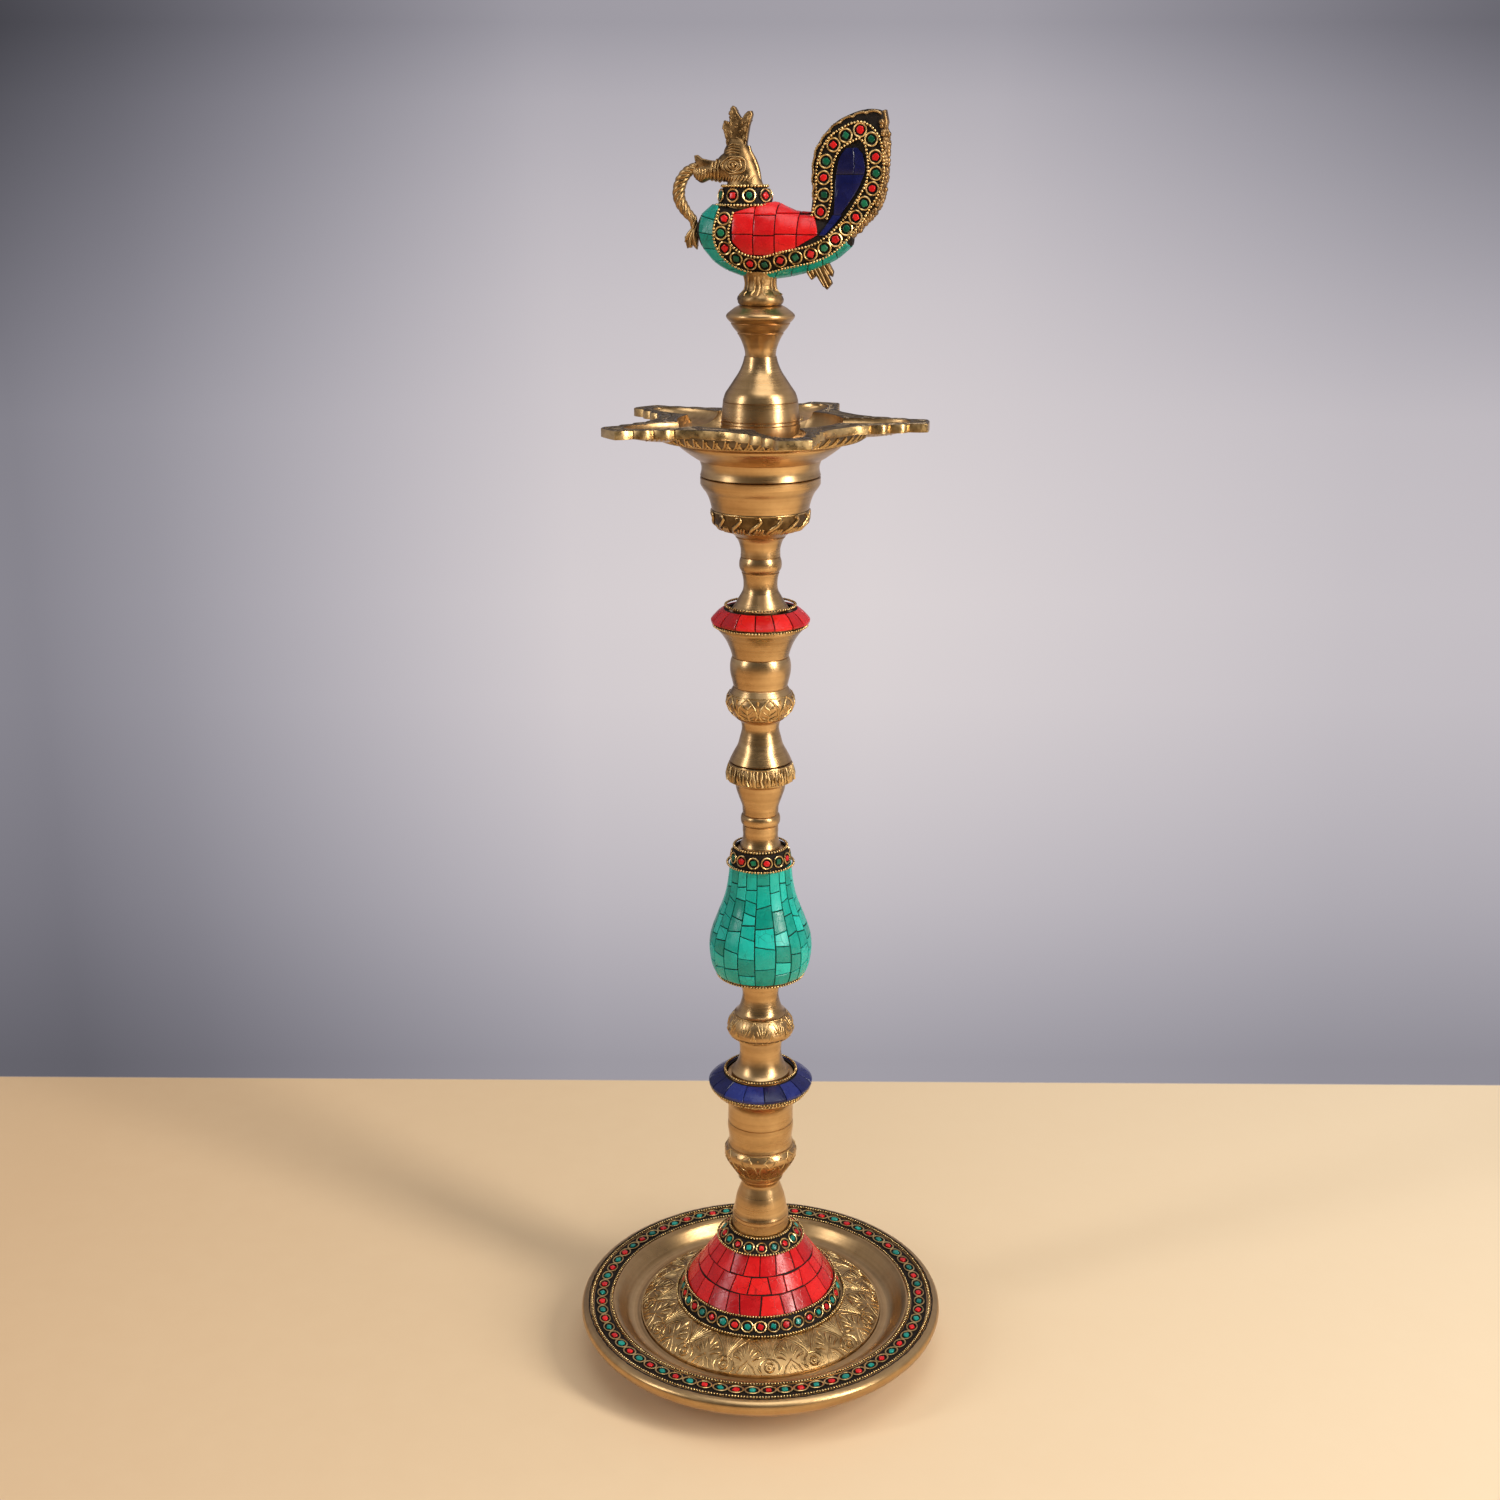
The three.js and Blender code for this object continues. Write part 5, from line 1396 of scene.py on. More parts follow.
def on_flank(x, h, side, lift=0):
    """A place on the bird's side, lifted off it along the way it faces."""
    y = half_width(x, h)
    slope = Vector(((half_width(x + 0.6, h) - half_width(x - 0.6, h)) / 1.2,
                    (half_width(x, h + 0.6) - half_width(x, h - 0.6)) / 1.2))
    if slope.length > 2:
        slope *= 2 / slope.length
    normal = Vector((-slope.x, 1, -slope.y)).normalized()
    place = Vector((x, y, h)) + normal * lift
    return on_bird(place.x, side * place.y, place.z)


def flank_frame(x, h, side, lift=0):
    """A matrix that stands a small shape on the bird's side."""
    centre = on_flank(x, h, side, lift)
    out = on_flank(x, h, side, lift + 1) - centre
    return upright(centre, out, on_flank(x + 0.5, h, side, lift) - centre)


def on_side(tile, side, edge=0.2):
    """The rule that lays a unit tile on the bird's side. The tile gives x and height for each u and v."""
    def place(point):
        level = round(point.z)
        u, v = point.x + 0.5, point.y + 0.5
        if level == 2:
            u, v = edge * 0.35 + u * (1 - edge * 0.7), edge * 0.35 + v * (1 - edge * 0.7)
        x, h = tile(u, v)
        return on_flank(x, h, side, (-CHIP, -0.18, 0)[level])
    return place


def broken_line(places, x):
    """The height at x of a line through places."""
    for a, b in zip(places, places[1:]):
        if x <= b[0]:
            return a[1] + (b[1] - a[1]) * (x - a[0]) / (b[0] - a[0])
    return places[-1][1]


def make_flanks():
    top = [(-9.2, 26), (-0.4, 29), (6.8, 30.8), (14.4, 27.1), (22.2, 26.4), (24, 23), (25.2, 18.4)]
    bottom = [(-9.2, 15.6), (-8.6, 14.6), (-4, 10.2), (8.2, 9.8), (16.5, 12.9), (25.2, 18)]
    bm = bmesh.new()
    columns = [(-9.2, -0.5), (-0.5, 8.2), (8.2, 16.9), (16.9, 25.1)]
    rows = [(5, 17.8), (17.8, 25.7), (25.7, 34)]
    for side in (-1, 1):
        for left, right in columns:
            step = chance.uniform(-0.35, 0.35)
            for low, high in rows:
                gap = chance.uniform(0.12, 0.3)
                tint = chance.uniform(0.3, 0.8)

                def tile(u, v, left=left, right=right, low=low + step, high=high + step, gap=gap):
                    x = left + gap + (right - left - 2 * gap) * u
                    down, up = broken_line(bottom, x), broken_line(top, x)
                    a = min(max(low + gap, down), up)
                    b = max(min(high - gap, up), down)
                    return x, a + (max(b, a) - a) * v
                sizes = [tile(u, 1)[1] - tile(u, 0)[1] for u in (0, 0.5, 1)]
                if max(sizes) > 0.8:
                    stamp(bm, square_tile, on_side(tile, side), 0, tint)
    bmesh.ops.remove_doubles(bm, verts=bm.verts, dist=1e-7)
    piece = finished(bm, "peacock_red_flanks", [red_stone], 30)
    fitted(piece, "peacock", "red_stone", "peacock_left_flank_mosaic", "peacock_right_flank_mosaic")


def make_tail_panels():
    front = [(21, 27.6), (25.5, 30.9), (39, 31.3), (47, 32.7), (50.6, 35.7)]
    rear = [(17.6, 26.6), (22.3, 31.2), (27.5, 35.2), (35, 40.6), (42, 43.5), (48.5, 42.1), (50.6, 39.7)]
    bm = bmesh.new()
    for side in (-1, 1):
        for low, high, cuts in ((25.4, 40.4, (0, 1)), (40.6, 50.4, (0, 0.62, 1))):
            for a, b in zip(cuts, cuts[1:]):
                def tile(u, v, low=low, high=high, a=a, b=b):
                    h = low + (high - low) * v
                    share = a + (b - a) * (0.01 + 0.98 * u)
                    return broken_line(front, h) * (1 - share) + broken_line(rear, h) * share, h
                stamp(bm, square_tile, on_side(tile, side, edge=0.12), 0, chance.uniform(0, 0.35))

        def lower(u, v):
            return 25.6 + 4.8 * v + (2.2 + 1.4 * v) * u, 17.6 + 7.6 * v
        stamp(bm, square_tile, on_side(lower, side, edge=0.12), 0, 0.3)
    bmesh.ops.remove_doubles(bm, verts=bm.verts, dist=1e-7)
    piece = finished(bm, "peacock_blue_tail_panels", [blue_stone], 30)
    fitted(piece, "peacock", "blue_stone", "peacock_left_tail_panel", "peacock_right_tail_panel")


def make_breast():
    """Turquoise chips from the jewelled band down to the bird's keel, under the belly and up the breast."""
    near = smooth_path([(-16.2, 29.2), (-16.8, 24.4), (-17.1, 18.2), (-15.3, 11), (-9.6, 5.8), (-2.7, 3.3),
                        (4.2, 3), (10.6, 4.8), (17, 6.1), (23.4, 7.6), (29.3, 10.1), (33.8, 13.4),
                        (36.2, 15.6)])
    far = smooth_path([(-19.6, 29.6), (-24, 26.6), (-25.9, 22.4), (-25.9, 17), (-22.6, 10.2), (-17, 5.2),
                       (-8, 1.5), (2, 0.3), (12, 1.3), (21, 3.5), (29, 6.9), (34.6, 10.2), (37.4, 13)])
    chips = 13
    near, far = ([point for point, _ in even_steps(edge, chips + 1)] for edge in (near, far))
    bm = bmesh.new()
    for side in (-1, 1):
        for number in range(chips):
            def place(point, number=number, side=side):
                u, v = point.x + 0.5, point.y + 0.5
                if round(point.z) == 2:
                    u, v = 0.05 + 0.9 * u, 0.02 + 0.96 * v
                start = near[number].lerp(near[number + 1], 0.025 + 0.95 * u)
                end = far[number].lerp(far[number + 1], 0.025 + 0.95 * u)
                share = 1 - (1 - v) ** 1.5
                spot = start.lerp(end, share)
                local = BIRD.inverted() @ on_flank(spot.x, spot.y, side, (-0.8, -0.2, 0)[round(point.z)])
                local.y *= min(1, 0.04 + (1 - share) / 0.14)
                return BIRD @ local
            stamp(bm, facet_tile, place, 0, chance.uniform(0, 0.45))
    bmesh.ops.remove_doubles(bm, verts=bm.verts, dist=1e-7)
    piece = finished(bm, "peacock_turquoise_breast", [turquoise], 14)
    fitted(piece, "peacock", "turquoise_stone", "peacock_breast_mosaic")


def beads_along(bm, places, size, pitch):
    """Beads on a wire through places."""
    length = sum((b - a).length for a, b in zip(places, places[1:])) / MM
    for point, _ in even_steps(places, round(length / pitch)):
        grown = size * chance.uniform(0.93, 1.07)
        stamp(bm, bead_shape, Matrix.Translation(point) @ Matrix.Scale(grown, 4), 1)


def make_band():
    bm = bmesh.new()
    steps = even_steps(BAND, 90)
    for side in (-1, 1):
        for i, (x, h) in enumerate(CELLS):
            set_cell(bm, flank_frame(x, h, side, -0.1), 2.5, 2 + i % 2)
        for off in (-3.1, 3.1):
            line = []
            for place, along in steps:
                spot = place + Vector((-along.y, along.x)) * off
                line.append(on_flank(spot.x, spot.y, side, 0.1))
            beads_along(bm, line, 0.58, 1.3)
        for a, b in zip(steps, steps[1:]):
            def tile(u, v, a=a, b=b):
                place = a[0].lerp(b[0], u)
                along = a[1].lerp(b[1], u)
                spot = place + Vector((-along.y, along.x)) * (v - 0.5) * 6.4
                return spot.x, spot.y
            stamp(bm, flat_tile, bed_rule(tile, side), 0)
    piece = finished(bm, "peacock_jewelled_band", [lac, bright, red_stone, green_stone], 50)
    fitted(piece, "peacock", "cell_band", "peacock_left_cell_band", "peacock_right_cell_band")


def bed_rule(tile, side):
    """The lac bed of the band, a little lower than the stones beside it."""
    def place(point):
        x, h = tile(point.x + 0.5, point.y + 0.5)
        return on_flank(x, h, side, (-1.4, -0.9, -0.45)[round(point.z)])
    return place


def neck_oval(h):
    """The neck's middle, half length and half width at a height."""
    left = (39 - h) / 17.5
    return 0.8 * left - 6.6, 8.2 + 6.4 * left, 6.5 + left


def on_neck(turned, h, lift=0):
    middle, long, wide = neck_oval(h)
    return on_bird(middle + (long + lift) * cos(turned), (wide + lift) * sin(turned), h)


def make_neck_band():
    bm = bmesh.new()
    rings = []
    for h, lift in ((28.6, -1.6), (28.6, -0.4), (36.6, -0.4), (36.6, -1.6)):
        rings.append([on_neck(TURN * i / 48, h, lift) for i in range(48)])
    loft(bm, rings)
    up = Vector((0, 0, 1))
    middle = [on_neck(FRONT + TURN * i / 200, 32.7, -0.05) for i in range(200)]
    for i, (point, along) in enumerate(even_steps(middle, 16, True)):
        if i % 2:
            out = along.cross(up) + up * 0.14
            set_cell(bm, upright(point, out, along), 2.45, 3 - i // 2 % 2)
    for h, lift in ((29, 0.05), (36.3, 0.1)):
        beads_along(bm, [on_neck(TURN * i / 72, h, lift) for i in range(73)], 0.62, BEAD_STEP)
    piece = finished(bm, "peacock_neck_cells", [lac, bright, red_stone, green_stone], 50)
    fitted(piece, "peacock", "cell_band", "peacock_neck_band")


def slab(bm, outline, half, rounding):
    """A flat piece in the bird's middle plane with soft edges."""
    face = bm.faces.new([bm.verts.new(on_bird(x, -half, h)) for x, h in outline])
    grown = extruded(bm, [face], on_bird(0, half, 0) - on_bird(0, -half, 0))
    whole = {v for v in grown if isinstance(v, bmesh.types.BMVert)} | set(face.verts)
    faces = {f for v in whole for f in v.link_faces}
    bmesh.ops.recalc_face_normals(bm, faces=list(faces))
    softened(bm, list({e for f in faces if len(f.verts) > 4 for e in f.edges}), rounding, 3)


def inside(outline, x, y):
    """Whether a place lies inside a closed outline."""
    odd = False
    for (ax, ay), (bx, by) in zip(outline, outline[1:] + outline[:1]):
        if (ay > y) != (by > y) and x < (bx - ax) * (y - ay) / (by - ay) + ax:
            odd = not odd
    return odd


# The crest's outline, the line that the garland hangs along, and the outlines of the fan's three feathers.
CREST = [(-12.9, 49), (-12.9, 52.4), (-14.6, 56), (-15.4, 58.8), (-14.9, 60.2), (-13.6, 60.9), (-12.5, 59.9),
         (-12.4, 62.4), (-12, 65.6), (-11.1, 66.6), (-10, 66), (-8.9, 63.8), (-7.4, 61.6), (-6.2, 63.4),
         (-4.9, 64.5), (-3.4, 64.6), (-3, 63.2), (-4.3, 59), (-5, 55.4), (-5.5, 52), (-5.2, 49)]
GARLAND = smooth_path([(-26, 0, 44), (-30.6, 0, 41.4), (-33.6, 0, 36.6), (-33.8, 0, 31.4), (-31, 0, 26.4),
                       (-28.2, 0, 23.4), (-27.6, 0, 19)], 8)
FAN = [[(17, 6.6), (22, 7.4), (22.9, 1.6), (21.3, 0.3), (20, 2)],
       [(20.6, 7), (25.4, 8), (29.8, -1), (27.7, -3.4), (26.4, -2.2)],
       [(23.6, 7.6), (27.8, 8), (30.3, 3.6), (29.9, 1.6), (28, 2.6)]]


def rings_on(stations, sides=24):
    """Ovals across the bird for a loft. A station is x, middle height, half height and half width."""
    rings = []
    for x, h, tall, wide in stations:
        rings.append([on_bird(x, wide * cos(TURN * i / sides), h + tall * sin(TURN * i / sides))
                      for i in range(sides)])
    return rings


def standing_rings(stations, sides=24):
    """Level ovals for a loft. A station is height, middle x, half length and half width."""
    rings = []
    for h, x, long, wide in stations:
        rings.append([on_bird(x + long * cos(TURN * i / sides), wide * sin(TURN * i / sides), h)
                      for i in range(sides)])
    return rings


def twisted(route, radius, strands, turns, half):
    """Strands that wind round a route, as on a plaited garland."""
    count = 90
    steps = even_steps(route, count)
    strokes = []
    for strand in range(strands):
        line = []
        for i, (point, along) in enumerate(steps):
            share = i / (count - 1)
            swell = 0.55 + 0.45 * sin(pi * min(1, 0.12 + share * 0.9))
            angle = TURN * (turns * share + strand / strands)
            side = Vector((0, 1, 0))
            up = along.cross(side).normalized()
            place = point + (side * cos(angle) + up * sin(angle)) * radius * swell
            line.append((on_bird(*place), half * swell))
        strokes.append(line)
    return strokes


def make_casting():
    """The cast bird on its stump. Its body is thinner by a chip's thickness, which the stones fill up."""
    bm = bmesh.new()
    stations = []
    for x, low, high, width in smooth_path(BODY, 4):
        stations.append((x, (low + high) / 2, (high - low) / 2 - CHIP, BODY_HALF * width - CHIP))
    loft(bm, rings_on(stations, 40))
    tail = [(x - 1.6 if x > 44 or x > 33 and h < 30 else x, h) for x, h in smooth_path(TAIL, 4, True)]
    slab(bm, tail, TAIL_HALF - 0.75, 0.8)
    painted(bm, 1)
    neck = [(27, -6, 11.7, 6.3), (36, -6.5, 8.3, 5.7), (37.4, -6.4, 7.2, 5.5), (43, -8, 6.8, 4.8),
            (49, -9.4, 5.6, 4.2), (52, -9.5, 4.2, 3.2), (54, -9.5, 3.2, 2.4)]
    loft(bm, standing_rings(smooth_path(neck, 4), 32))
    head = bmesh.ops.create_uvsphere(bm, u_segments=32, v_segments=20, radius=MM)["verts"]
    middle = Matrix.Translation(Vector((-11, 0, 43.6)) * MM)
    bmesh.ops.transform(bm, matrix=BIRD @ middle @ Matrix.Diagonal((7.4, 4.5, 6.2, 1)), verts=head)
    beak = [(-27.4, 41.8, 2.2, 1.8), (-24.4, 40.9, 3.5, 2.5), (-20, 42, 3.3, 2.7), (-14, 42.8, 5, 3.7),
            (-11, 43.2, 5.4, 3.9)]
    loft(bm, rings_on(smooth_path(beak, 5), 24))
    comb = [(-25.6, 43.4), (-26.9, 46), (-27.2, 47.9), (-26, 48.2), (-24, 46.8), (-21, 46.2), (-18, 45.8),
            (-20, 43)]
    tassel = [(-29, 19), (-31.6, 16.6), (-31, 13.9), (-30.5, 12.1), (-28.4, 13.6), (-26.5, 11.7), (-25.7, 18)]
    tail_tip = [(45.4, 60.4), (47, 63.6), (50.4, 64.5), (51.4, 60), (50.6, 56.6)]
    slab(bm, comb, 1.5, 0.6)
    slab(bm, CREST, 1.7, 0.7)
    slab(bm, tassel, 1.3, 0.4)
    for feather in FAN:
        slab(bm, feather, 1.3, 0.35)
    slab(bm, tail_tip, 2.6, 0.8)
    pedestal = Outline(0, PERCH - PEDESTAL + GRIP).line(BORE).line(BORE, -GRIP).line(8.6)
    pedestal.line(9.3, 0.9).line(9.5, 1.2).line(9.1, 1.2).line(7.4, 1.5)
    pedestal.through([(6.3, PERCH - 3.4), (6, PERCH - 1.4), (6.3, PERCH + 0.8), (7.2, PERCH + 3.4)])
    bark = Skin(pedestal.points[6:])
    pedestal.line(0)
    foot = bmesh.new()
    turn(foot, pedestal.points, 40)
    for v in foot.verts:
        if v.co.z > (PERCH - 9.4) * MM and v.co.xy.length > 5.5 * MM:
            swell = 1 + chance.uniform(-0.03, 0.03)
            v.co.xy = v.co.xy * min(swell, 1) if v.co.xy.length > 9.2 * MM else v.co.xy * swell
    joined(bm, foot)
    cast = BVHTree.FromBMesh(bm)
    fitted(finished(bm, "peacock_cast", [antique, lac], 40), "peacock", "chased_brass", "peacock_casting")
    strokes = [*twisted(GARLAND, 1.35, 4, 3.2, 1.3), *head_strokes(cast), *crest_strokes(), *tassel_strokes(),
               *fan_strokes(), *bark_strokes(bark), *tail_strokes()]
    # Wider, lower ovals under the eye's rings are dark: partly patina, partly painted shade in the grooves.
    cuts = [[(place, half + 0.2) for place, half in line] for line in oval_strokes(cast, -0.35)]
    chasing = raised("peacock_chasing", strokes, [chased, patina_and_painted_shade], 2, cuts)
    fitted(chasing, "peacock", "chased_brass", "peacock_casting")
    make_grains()


def on_cast(cast, x, h, side, lift=0):
    """The place on the cast bird's side at x and a height, where a straight look from that side meets it."""
    start = on_bird(x, side * 20, h)
    way = (on_bird(x, 0, h) - start).normalized()
    hit = cast.ray_cast(start, way, 24 * MM)[0]
    return (hit if hit is not None else on_bird(x, 0, h)) - way * lift * MM


def oval_strokes(cast, lift):
    """The eye: ovals one inside another on both sides of the head."""
    strokes = []
    for side in (-1, 1):
        for wide, tall, weight in ((0.5, 0.4, 0.7), (1.9, 1.3, 0.5), (3.2, 2.3, 0.5), (4.6, 3.5, 0.5)):
            line = []
            for i in range(25):
                angle = TURN * i / 24
                uneven = 1 + 0.09 * sin(2 * angle + wide * 1.7) + 0.05 * sin(5 * angle + wide)
                line.append((on_cast(cast, -9.8 + wide * uneven * cos(angle),
                                     44.2 + tall * uneven * sin(angle),
                                     side, lift), weight * (1 + 0.25 * sin(3 * angle + wide))))
            strokes.append(line)
    return strokes


def head_strokes(cast):
    """The eyes, short lines on neck, crown and beak, rings round the beak and a ridge down the nape."""
    strokes = oval_strokes(cast, 0.1)
    for side in (-1, 1):
        lines = []
        for i in range(11):
            x = -16.5 + i * 1.4
            lines.append(((x, 38, 0.3), (x + 0.5, 39.2, 0.55), (x + 1.1, 40.4, 0.2)))
        for i in range(4):
            h = 48.6 + i * 1
            lines.append(((-13.4 + i * 0.4, h, 0.25), (-10.5, h + 0.7, 0.5), (-7.4, h, 0.25)))
        for i in range(5):
            x = -26 + i * 1.25
            lines.append(((x - 0.4, 38.8 + i * 0.1, 0.3), (x + 0.3, 40.6, 0.55), (x, 42.8, 0.3)))
        for line in lines:
            strokes.append([(on_cast(cast, x, h, side, lift), half)
                            for (x, h, half), lift in zip(line, (0, 0.1, 0))])
    for x, h, tall, wide in ((-19.6, 42.1, 3.5, 2.9), (-18, 42.3, 4, 3.2), (-16.4, 42.5, 4.5, 3.5)):
        strokes.append([(on_bird(x + 0.35 * sin(TURN * i / 24), wide * cos(TURN * i / 24),
                                 h + tall * sin(TURN * i / 24)), 0.55) for i in range(25)])
    nape = smooth_path([(-5, 51.5), (-4.6, 49), (-3.1, 46), (-1.9, 43), (-1, 40), (-0.3, 37.2)], 4)
    swell = pi / (len(nape) - 1)
    strokes.append([(on_bird(x, 0, h), 0.9 + 0.7 * sin(swell * i)) for i, (x, h) in enumerate(nape)])
    return strokes


def tassel_strokes():
    """Three drooping leaves that end the garland, each with a raised rib on both sides."""
    strokes = []
    for side in (-1, 1):
        for ribs in (((-27.9, 20), (-29.8, 17.4), (-31.3, 14.6)), ((-27.7, 19.6), (-28.8, 16), (-29.3, 12.4)),
                     ((-27.3, 19.6), (-27.3, 16.6), (-26.6, 13))):
            strokes.append([(on_bird(x, side * y, h), half)
                            for (x, h), (y, half) in zip(ribs, ((0.7, 0.7), (1.2, 0.95), (0.9, 0.4)))])
    return strokes


def crest_strokes():
    """A wavering rib up each plume of the crest, on both sides."""
    strokes = []
    for side in (-1, 1):
        for rib in ([(-13, 50.4), (-13.4, 54), (-14.4, 58)], [(-11.2, 52), (-11.8, 58), (-11.2, 65)],
                    [(-6.8, 50.4), (-6.2, 56), (-4.3, 62.8)]):
            strokes.append([(on_bird(x, side * 1.2, h), 0.6 + 0.15 * sin(i * 2.2))
                            for i, (x, h) in enumerate(smooth_path(rib, 5))])
    return strokes


def fan_strokes():
    """The ribs of the three feathers under the tail."""
    strokes = []
    for side in (-1, 1):
        for start, end in (((18.6, 6), (21.2, 1)), ((20.4, 6.6), (22.4, 1.8)), ((21.6, 6.2), (26.6, -2.2)),
                           ((23.2, 6.8), (28, -2.4)), ((24.8, 7.2), (29.3, -0.8)), ((25, 7.4), (28.4, 2.6)),
                           ((26.8, 7.6), (29.9, 3))):
            strokes.append([(on_bird(start[0], side * 1.2, start[1]), 0.5),
                            (on_bird((start[0] + end[0]) / 2, side * 1.35, (start[1] + end[1]) / 2), 0.62),
                            (on_bird(end[0], side * 1.1, end[1]), 0.4)])
    return strokes


def bark_strokes(skin):
    """Wandering ridges on the stump that the bird stands on."""
    strokes = []
    for i in range(15):
        turned = TURN * (i + chance.uniform(-0.3, 0.3)) / 15
        line = []
        for step in range(7):
            turned += chance.uniform(-0.09, 0.09)
            line.append((skin.at(turned, 0.06 + step * 0.13, -0.1), chance.uniform(0.35, 0.7)))
        strokes.append(line)
    return strokes


def tail_strokes():
    """The scalloped front edge of the tail, with a beaded wire that follows the scallops."""
    strokes = []
    front = smooth_path([(22.6, 33), (22.3, 42), (23.4, 49.2), (26.5, 54.4), (31.2, 59.1), (37, 62),
                         (43, 63.6), (46, 63.7)], 6)
    for point, along in even_steps(front, 9):
        out = Vector((-along.y, along.x))
        if out.dot(point - Vector((36, 42))) < 0:
            out = -out
        for y, half in ((-3.6, 0.6), (-1.8, 0.75), (0, 0.75), (1.8, 0.75), (3.6, 0.6)):
            arc = []
            for i in range(17):
                t = pi * i / 16
                place = point + along * 2.9 * cos(t) + out * (1.3 * sin(t) - 1)
                arc.append((on_bird(place.x, y, place.y), half * (1 if abs(y) < 3 or i % 2 else 0.6)))
            strokes.append(arc)
    return strokes


def make_grains():
    """Small grains of cast brass on the crest, and on the worn rear edge of the tail."""
    bm = bmesh.new()
    made = 0
    while made < 150:
        x, h = chance.uniform(-15, -4), chance.uniform(49.5, 65.5)
        if inside(CREST, x, h):
            spot = on_bird(x, 1.3 if made % 2 else -1.3, h)
            stamp(bm, bead_shape, Matrix.Translation(spot) @ Matrix.Scale(chance.uniform(0.4, 0.7), 4))
            made += 1
    rear = smooth_path([(50.4, 59.6), (51.5, 54), (51.6, 48), (51.5, 41), (50.4, 34.5), (48.8, 28.4),
                        (45, 23.8), (40.4, 19.6), (36.6, 15.8)], 6)
    for y in (-3.3, -1.7, 0, 1.7, 3.3):
        for point, _ in even_steps(rear, 33):
            size = chance.uniform(0.9, 1.35)
            inward = 0.3 + 0.3 * abs(y) + chance.uniform(-0.2, 0.3)
            spot = on_bird(point.x - inward, y, point.y + chance.uniform(-0.5, 0.5))
            stamp(bm, bead_shape, Matrix.Translation(spot) @ Matrix.Scale(size, 4))
    fitted(finished(bm, "peacock_cast_grains", [antique], 60), "peacock", "chased_brass", "peacock_casting")


def make_peacock():
    make_casting()
    make_flanks()
    make_tail_panels()
    make_breast()
    make_band()
    make_neck_band()


# -------------------- floor, backdrop, lights and camera

EYE_PLACE = (0, -0.7689, 0.5285)  # where the camera stands, in metres
WALL_FOOT = (0.2668, 0.2686)  # how far behind the lamp the floor gives way to the wall
WALL_SLANT = 0.0125  # how far the wall's foot comes nearer for each metre to the right
MIDDLE = 0.26  # the height that the lights point at
# The share of painted light on the wall, from top to bottom and from left to right. A place is the slope at
# which the camera sees it, down or to the right.
WALL_DOWN = [(-0.45, 0.8), (-0.2, 0.58), (-0.08, 0.51), (-0.043, 0.66), (0.006, 0.77), (0.056, 0.86),
             (0.108, 0.93), (0.16, 0.97), (0.217, 1), (0.274, 0.97), (0.333, 0.87), (0.394, 0.75),
             (0.457, 0.59), (0.496, 0.5)]
WALL_ACROSS = [(-0.95, 0.6), (-0.6, 0.42), (-0.403, 0.34), (-0.331, 0.45), (-0.248, 0.63), (-0.165, 0.81),
               (-0.105, 0.93), (-0.039, 0.96), (0.06, 1), (0.127, 0.96), (0.166, 0.93), (0.248, 0.87),
               (0.331, 0.8), (0.403, 0.78), (0.95, 0.8)]
# The painted shade that the corners take besides, from top to bottom and out to both sides.
CORNER_SHADE_DOWN = [(-0.45, 0.1), (-0.08, 0.64), (0.12, 0)]
CORNER_SHADE_ACROSS = [(0.12, 0), (0.403, 0.88), (0.8, 0.2)]


def level_along(finish, value, places):
    """The share of painted light along one way over the wall, given at a row of places."""
    low, high = places[0][0], places[-1][0]
    share = finish.spread(value, low, high, 0, 1)
    return finish.ramp(share, [((at - low) / (high - low), (level,) * 3) for at, level in places])


def painted_wall_light(finish, across, down):
    """The pale wall's painted light: a painted pool of light behind the bowl, and painted shade, darker and
    cooler, away from there.
    """
    level = finish.math("MULTIPLY", level_along(finish, down, WALL_DOWN),
                        level_along(finish, across, WALL_ACROSS))
    corner = finish.math("MULTIPLY", level_along(finish, down, CORNER_SHADE_DOWN),
                         level_along(finish, finish.math("ABSOLUTE", across), CORNER_SHADE_ACROSS))
    tone = finish.math("MULTIPLY", level, finish.math("SUBTRACT", 1, corner))
    tint = finish.blend(tone, (0.72, 0.71, 0.864), (0.716, 0.658, 0.665))
    return finish.node("ShaderNodeVectorMath", {0: tint, "Scale": tone}, operation="SCALE").outputs[0]


class Room(Finish):
    """The nodes of the world round the lamp, made as a finish's are. Its place is the way that is looked."""

    def __init__(self, tree):
        self.tree = tree
        self.place = tree.nodes.new("ShaderNodeTexCoord").outputs["Generated"]


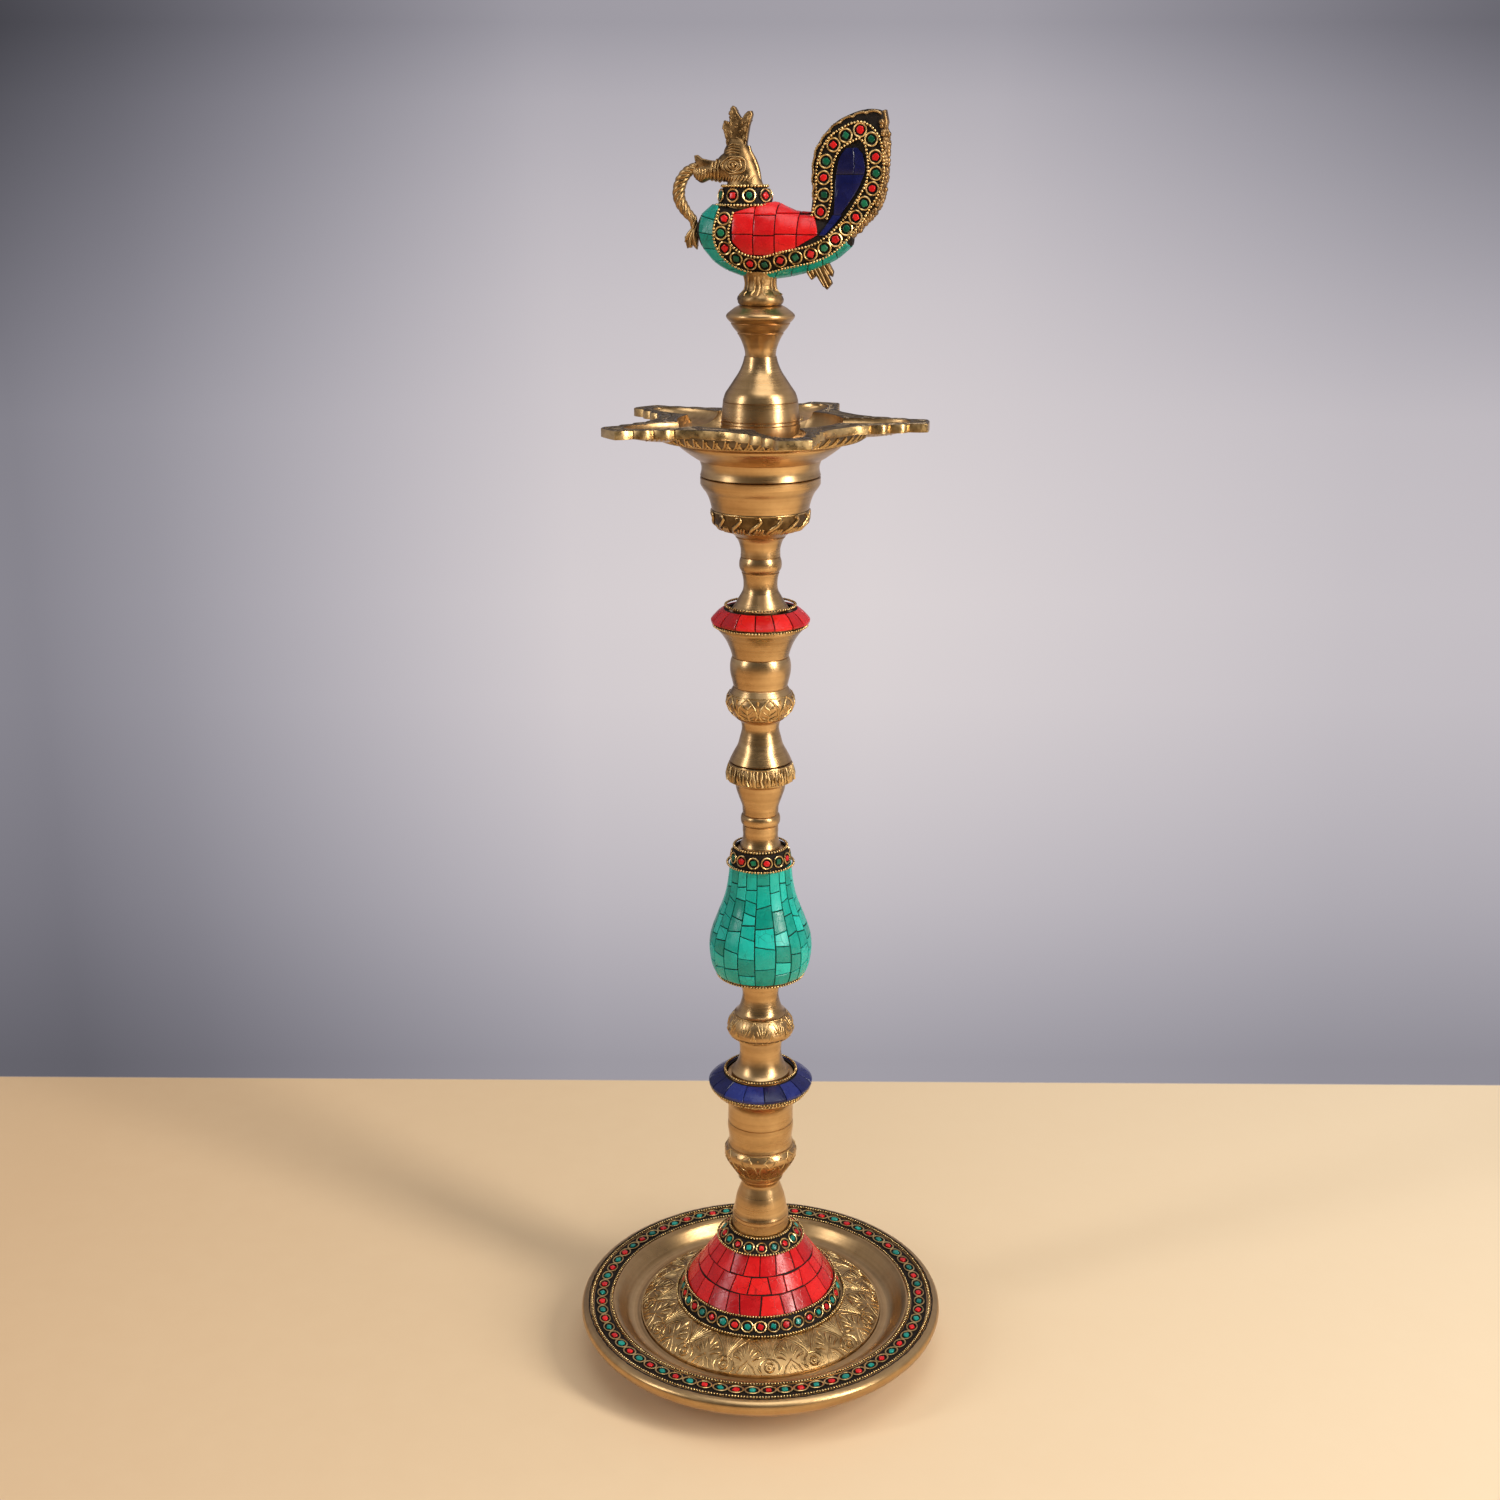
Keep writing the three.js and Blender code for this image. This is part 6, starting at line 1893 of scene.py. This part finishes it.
def floor_finish():
    """A cream floor, painted lighter to the right as the light falls, that gives way to a pale wall behind
    the lamp.
    The wall is seen at its own tone of painted light and shade.
    """
    finish = Finish("cream_floor_and_pale_wall_painted_light", 0.85)
    parts = finish.node("ShaderNodeSeparateXYZ", {0: finish.place}).outputs
    slanted = finish.math("MULTIPLY_ADD", parts[0], WALL_SLANT, parts[1])
    wall = finish.spread(slanted, *WALL_FOOT, 0, 1)
    away = finish.math("MAXIMUM", finish.math("ADD", parts[1], -EYE_PLACE[1]), 0.3)
    across, down = (finish.math("DIVIDE", value, away) for value in (parts[0], EYE_PLACE[2]))
    tone = painted_wall_light(finish, across, down)
    grain = finish.math("MULTIPLY", finish.noise(finish.place, 60, 3, 0.6), 0.1)
    # Painted light: the cream is darker on the left and lighter on the right, as the key light falls from the
    # right.
    painted_light_across = finish.math("ADD", finish.spread(parts[0], -0.4, 0.4, 0, 0.9), grain)
    creams = [(0.05, (0.77, 0.53, 0.31)), (0.45, (0.87, 0.65, 0.41)), (0.95, (0.93, 0.74, 0.51))]
    cream = finish.ramp(painted_light_across, creams)
    finish.colour(finish.blend(wall, cream, (0.5, 0.47, 0.5)))
    # The wall part glows with its painted light and shade on the rays that show it.
    glow = finish.node("ShaderNodeEmission", {"Color": tone}).outputs[0]
    share = finish.math("MULTIPLY", wall, finish.seen())
    mixed = finish.node("ShaderNodeMixShader", {0: share, 1: finish.shader.outputs[0], 2: glow})
    finish.tree.links.new(mixed.outputs[0], finish.tree.nodes["Material Output"].inputs["Surface"])
    return finish.material


def make_stage():
    """The floor, and a world that carries the wall's painted light and shade on past it and is grey behind
    the camera.
    """
    bm = bmesh.new()
    bmesh.ops.create_grid(bm, x_segments=1, y_segments=1, size=40)
    finished(bm, "floor", [floor_finish()])
    world = bpy.data.worlds.new("studio")
    bpy.context.scene.world = world
    world.use_nodes = True
    room = Room(world.node_tree)
    parts = room.node("ShaderNodeSeparateXYZ", {0: room.place}).outputs
    ahead = room.math("MAXIMUM", parts[1], 0.2)
    down = room.math("MULTIPLY", room.math("DIVIDE", parts[2], ahead), -1)
    tone = painted_wall_light(room, room.math("DIVIDE", parts[0], ahead), down)
    greys = [(0, (0.09, 0.085, 0.08)), (0.45, (0.16, 0.155, 0.15)), (1, (0.42, 0.41, 0.44))]
    behind = room.ramp(room.spread(parts[1], -1, 0.3, 0, 1), greys)
    shown = room.blend(room.spread(parts[1], 0.25, 0.6, 0, 1), behind, tone)
    even = room.tree.nodes["Background"]
    even.inputs["Color"].default_value = (1, 0.94, 0.88, 1)
    even.inputs["Strength"].default_value = 0.3
    back = room.node("ShaderNodeBackground", {"Color": shown})
    mixed = room.node("ShaderNodeMixShader", {0: room.seen(), 1: even.outputs[0], 2: back.outputs[0]})
    room.tree.links.new(mixed.outputs[0], room.tree.nodes["World Output"].inputs["Surface"])


def soft_light(name, azimuth, height, distance, width, tall, power, colour=(1, 1, 1)):
    """A soft panel that stands at an angle round the lamp from the camera, and faces the lamp's middle."""
    light = bpy.data.lights.new(name, "AREA")
    light.shape = "RECTANGLE"
    light.size, light.size_y = width, tall
    light.energy = power
    light.color = colour
    panel = bpy.data.objects.new(name, light)
    turned = radians(azimuth - 90)
    panel.location = (distance * cos(turned), distance * sin(turned), height)
    panel.rotation_euler = (Vector((0, 0, MIDDLE)) - panel.location).to_track_quat("-Z", "Y").to_euler()
    bpy.context.scene.collection.objects.link(panel)


def make_lights():
    soft_light("key_panel", 54, 1, 1.45, 0.27, 1.2, 22.5, (1, 0.96, 0.9))
    soft_light("left_panel", -66, 0.95, 1.5, 0.2, 0.9, 6, (0.98, 0.98, 1))
    soft_light("top_panel", 20, 1.9, 0.5, 1.2, 1.2, 9)


def make_camera():
    camera = bpy.data.cameras.new("camera")
    camera.lens = 44.4
    camera.sensor_width = 36
    camera.shift_x = -0.007
    camera.clip_start = 0.01
    view = bpy.data.objects.new("camera", camera)
    view.location = EYE_PLACE
    view.rotation_euler = (radians(73.126), 0, 0)
    bpy.context.scene.collection.objects.link(view)
    bpy.context.scene.camera = view
    bpy.context.scene.view_settings.view_transform = "Standard"


for make in (make_camera, make_stage, make_lights, make_foot, make_dish, make_dome, make_cone, make_bolt,
             make_studs, make_lower_stem, make_lapis_ring, make_lotus_stem, make_pear, make_neck_segment,
             make_leaf_stem, make_bowl_stem, make_bowl, make_vase, make_peacock):
    make()
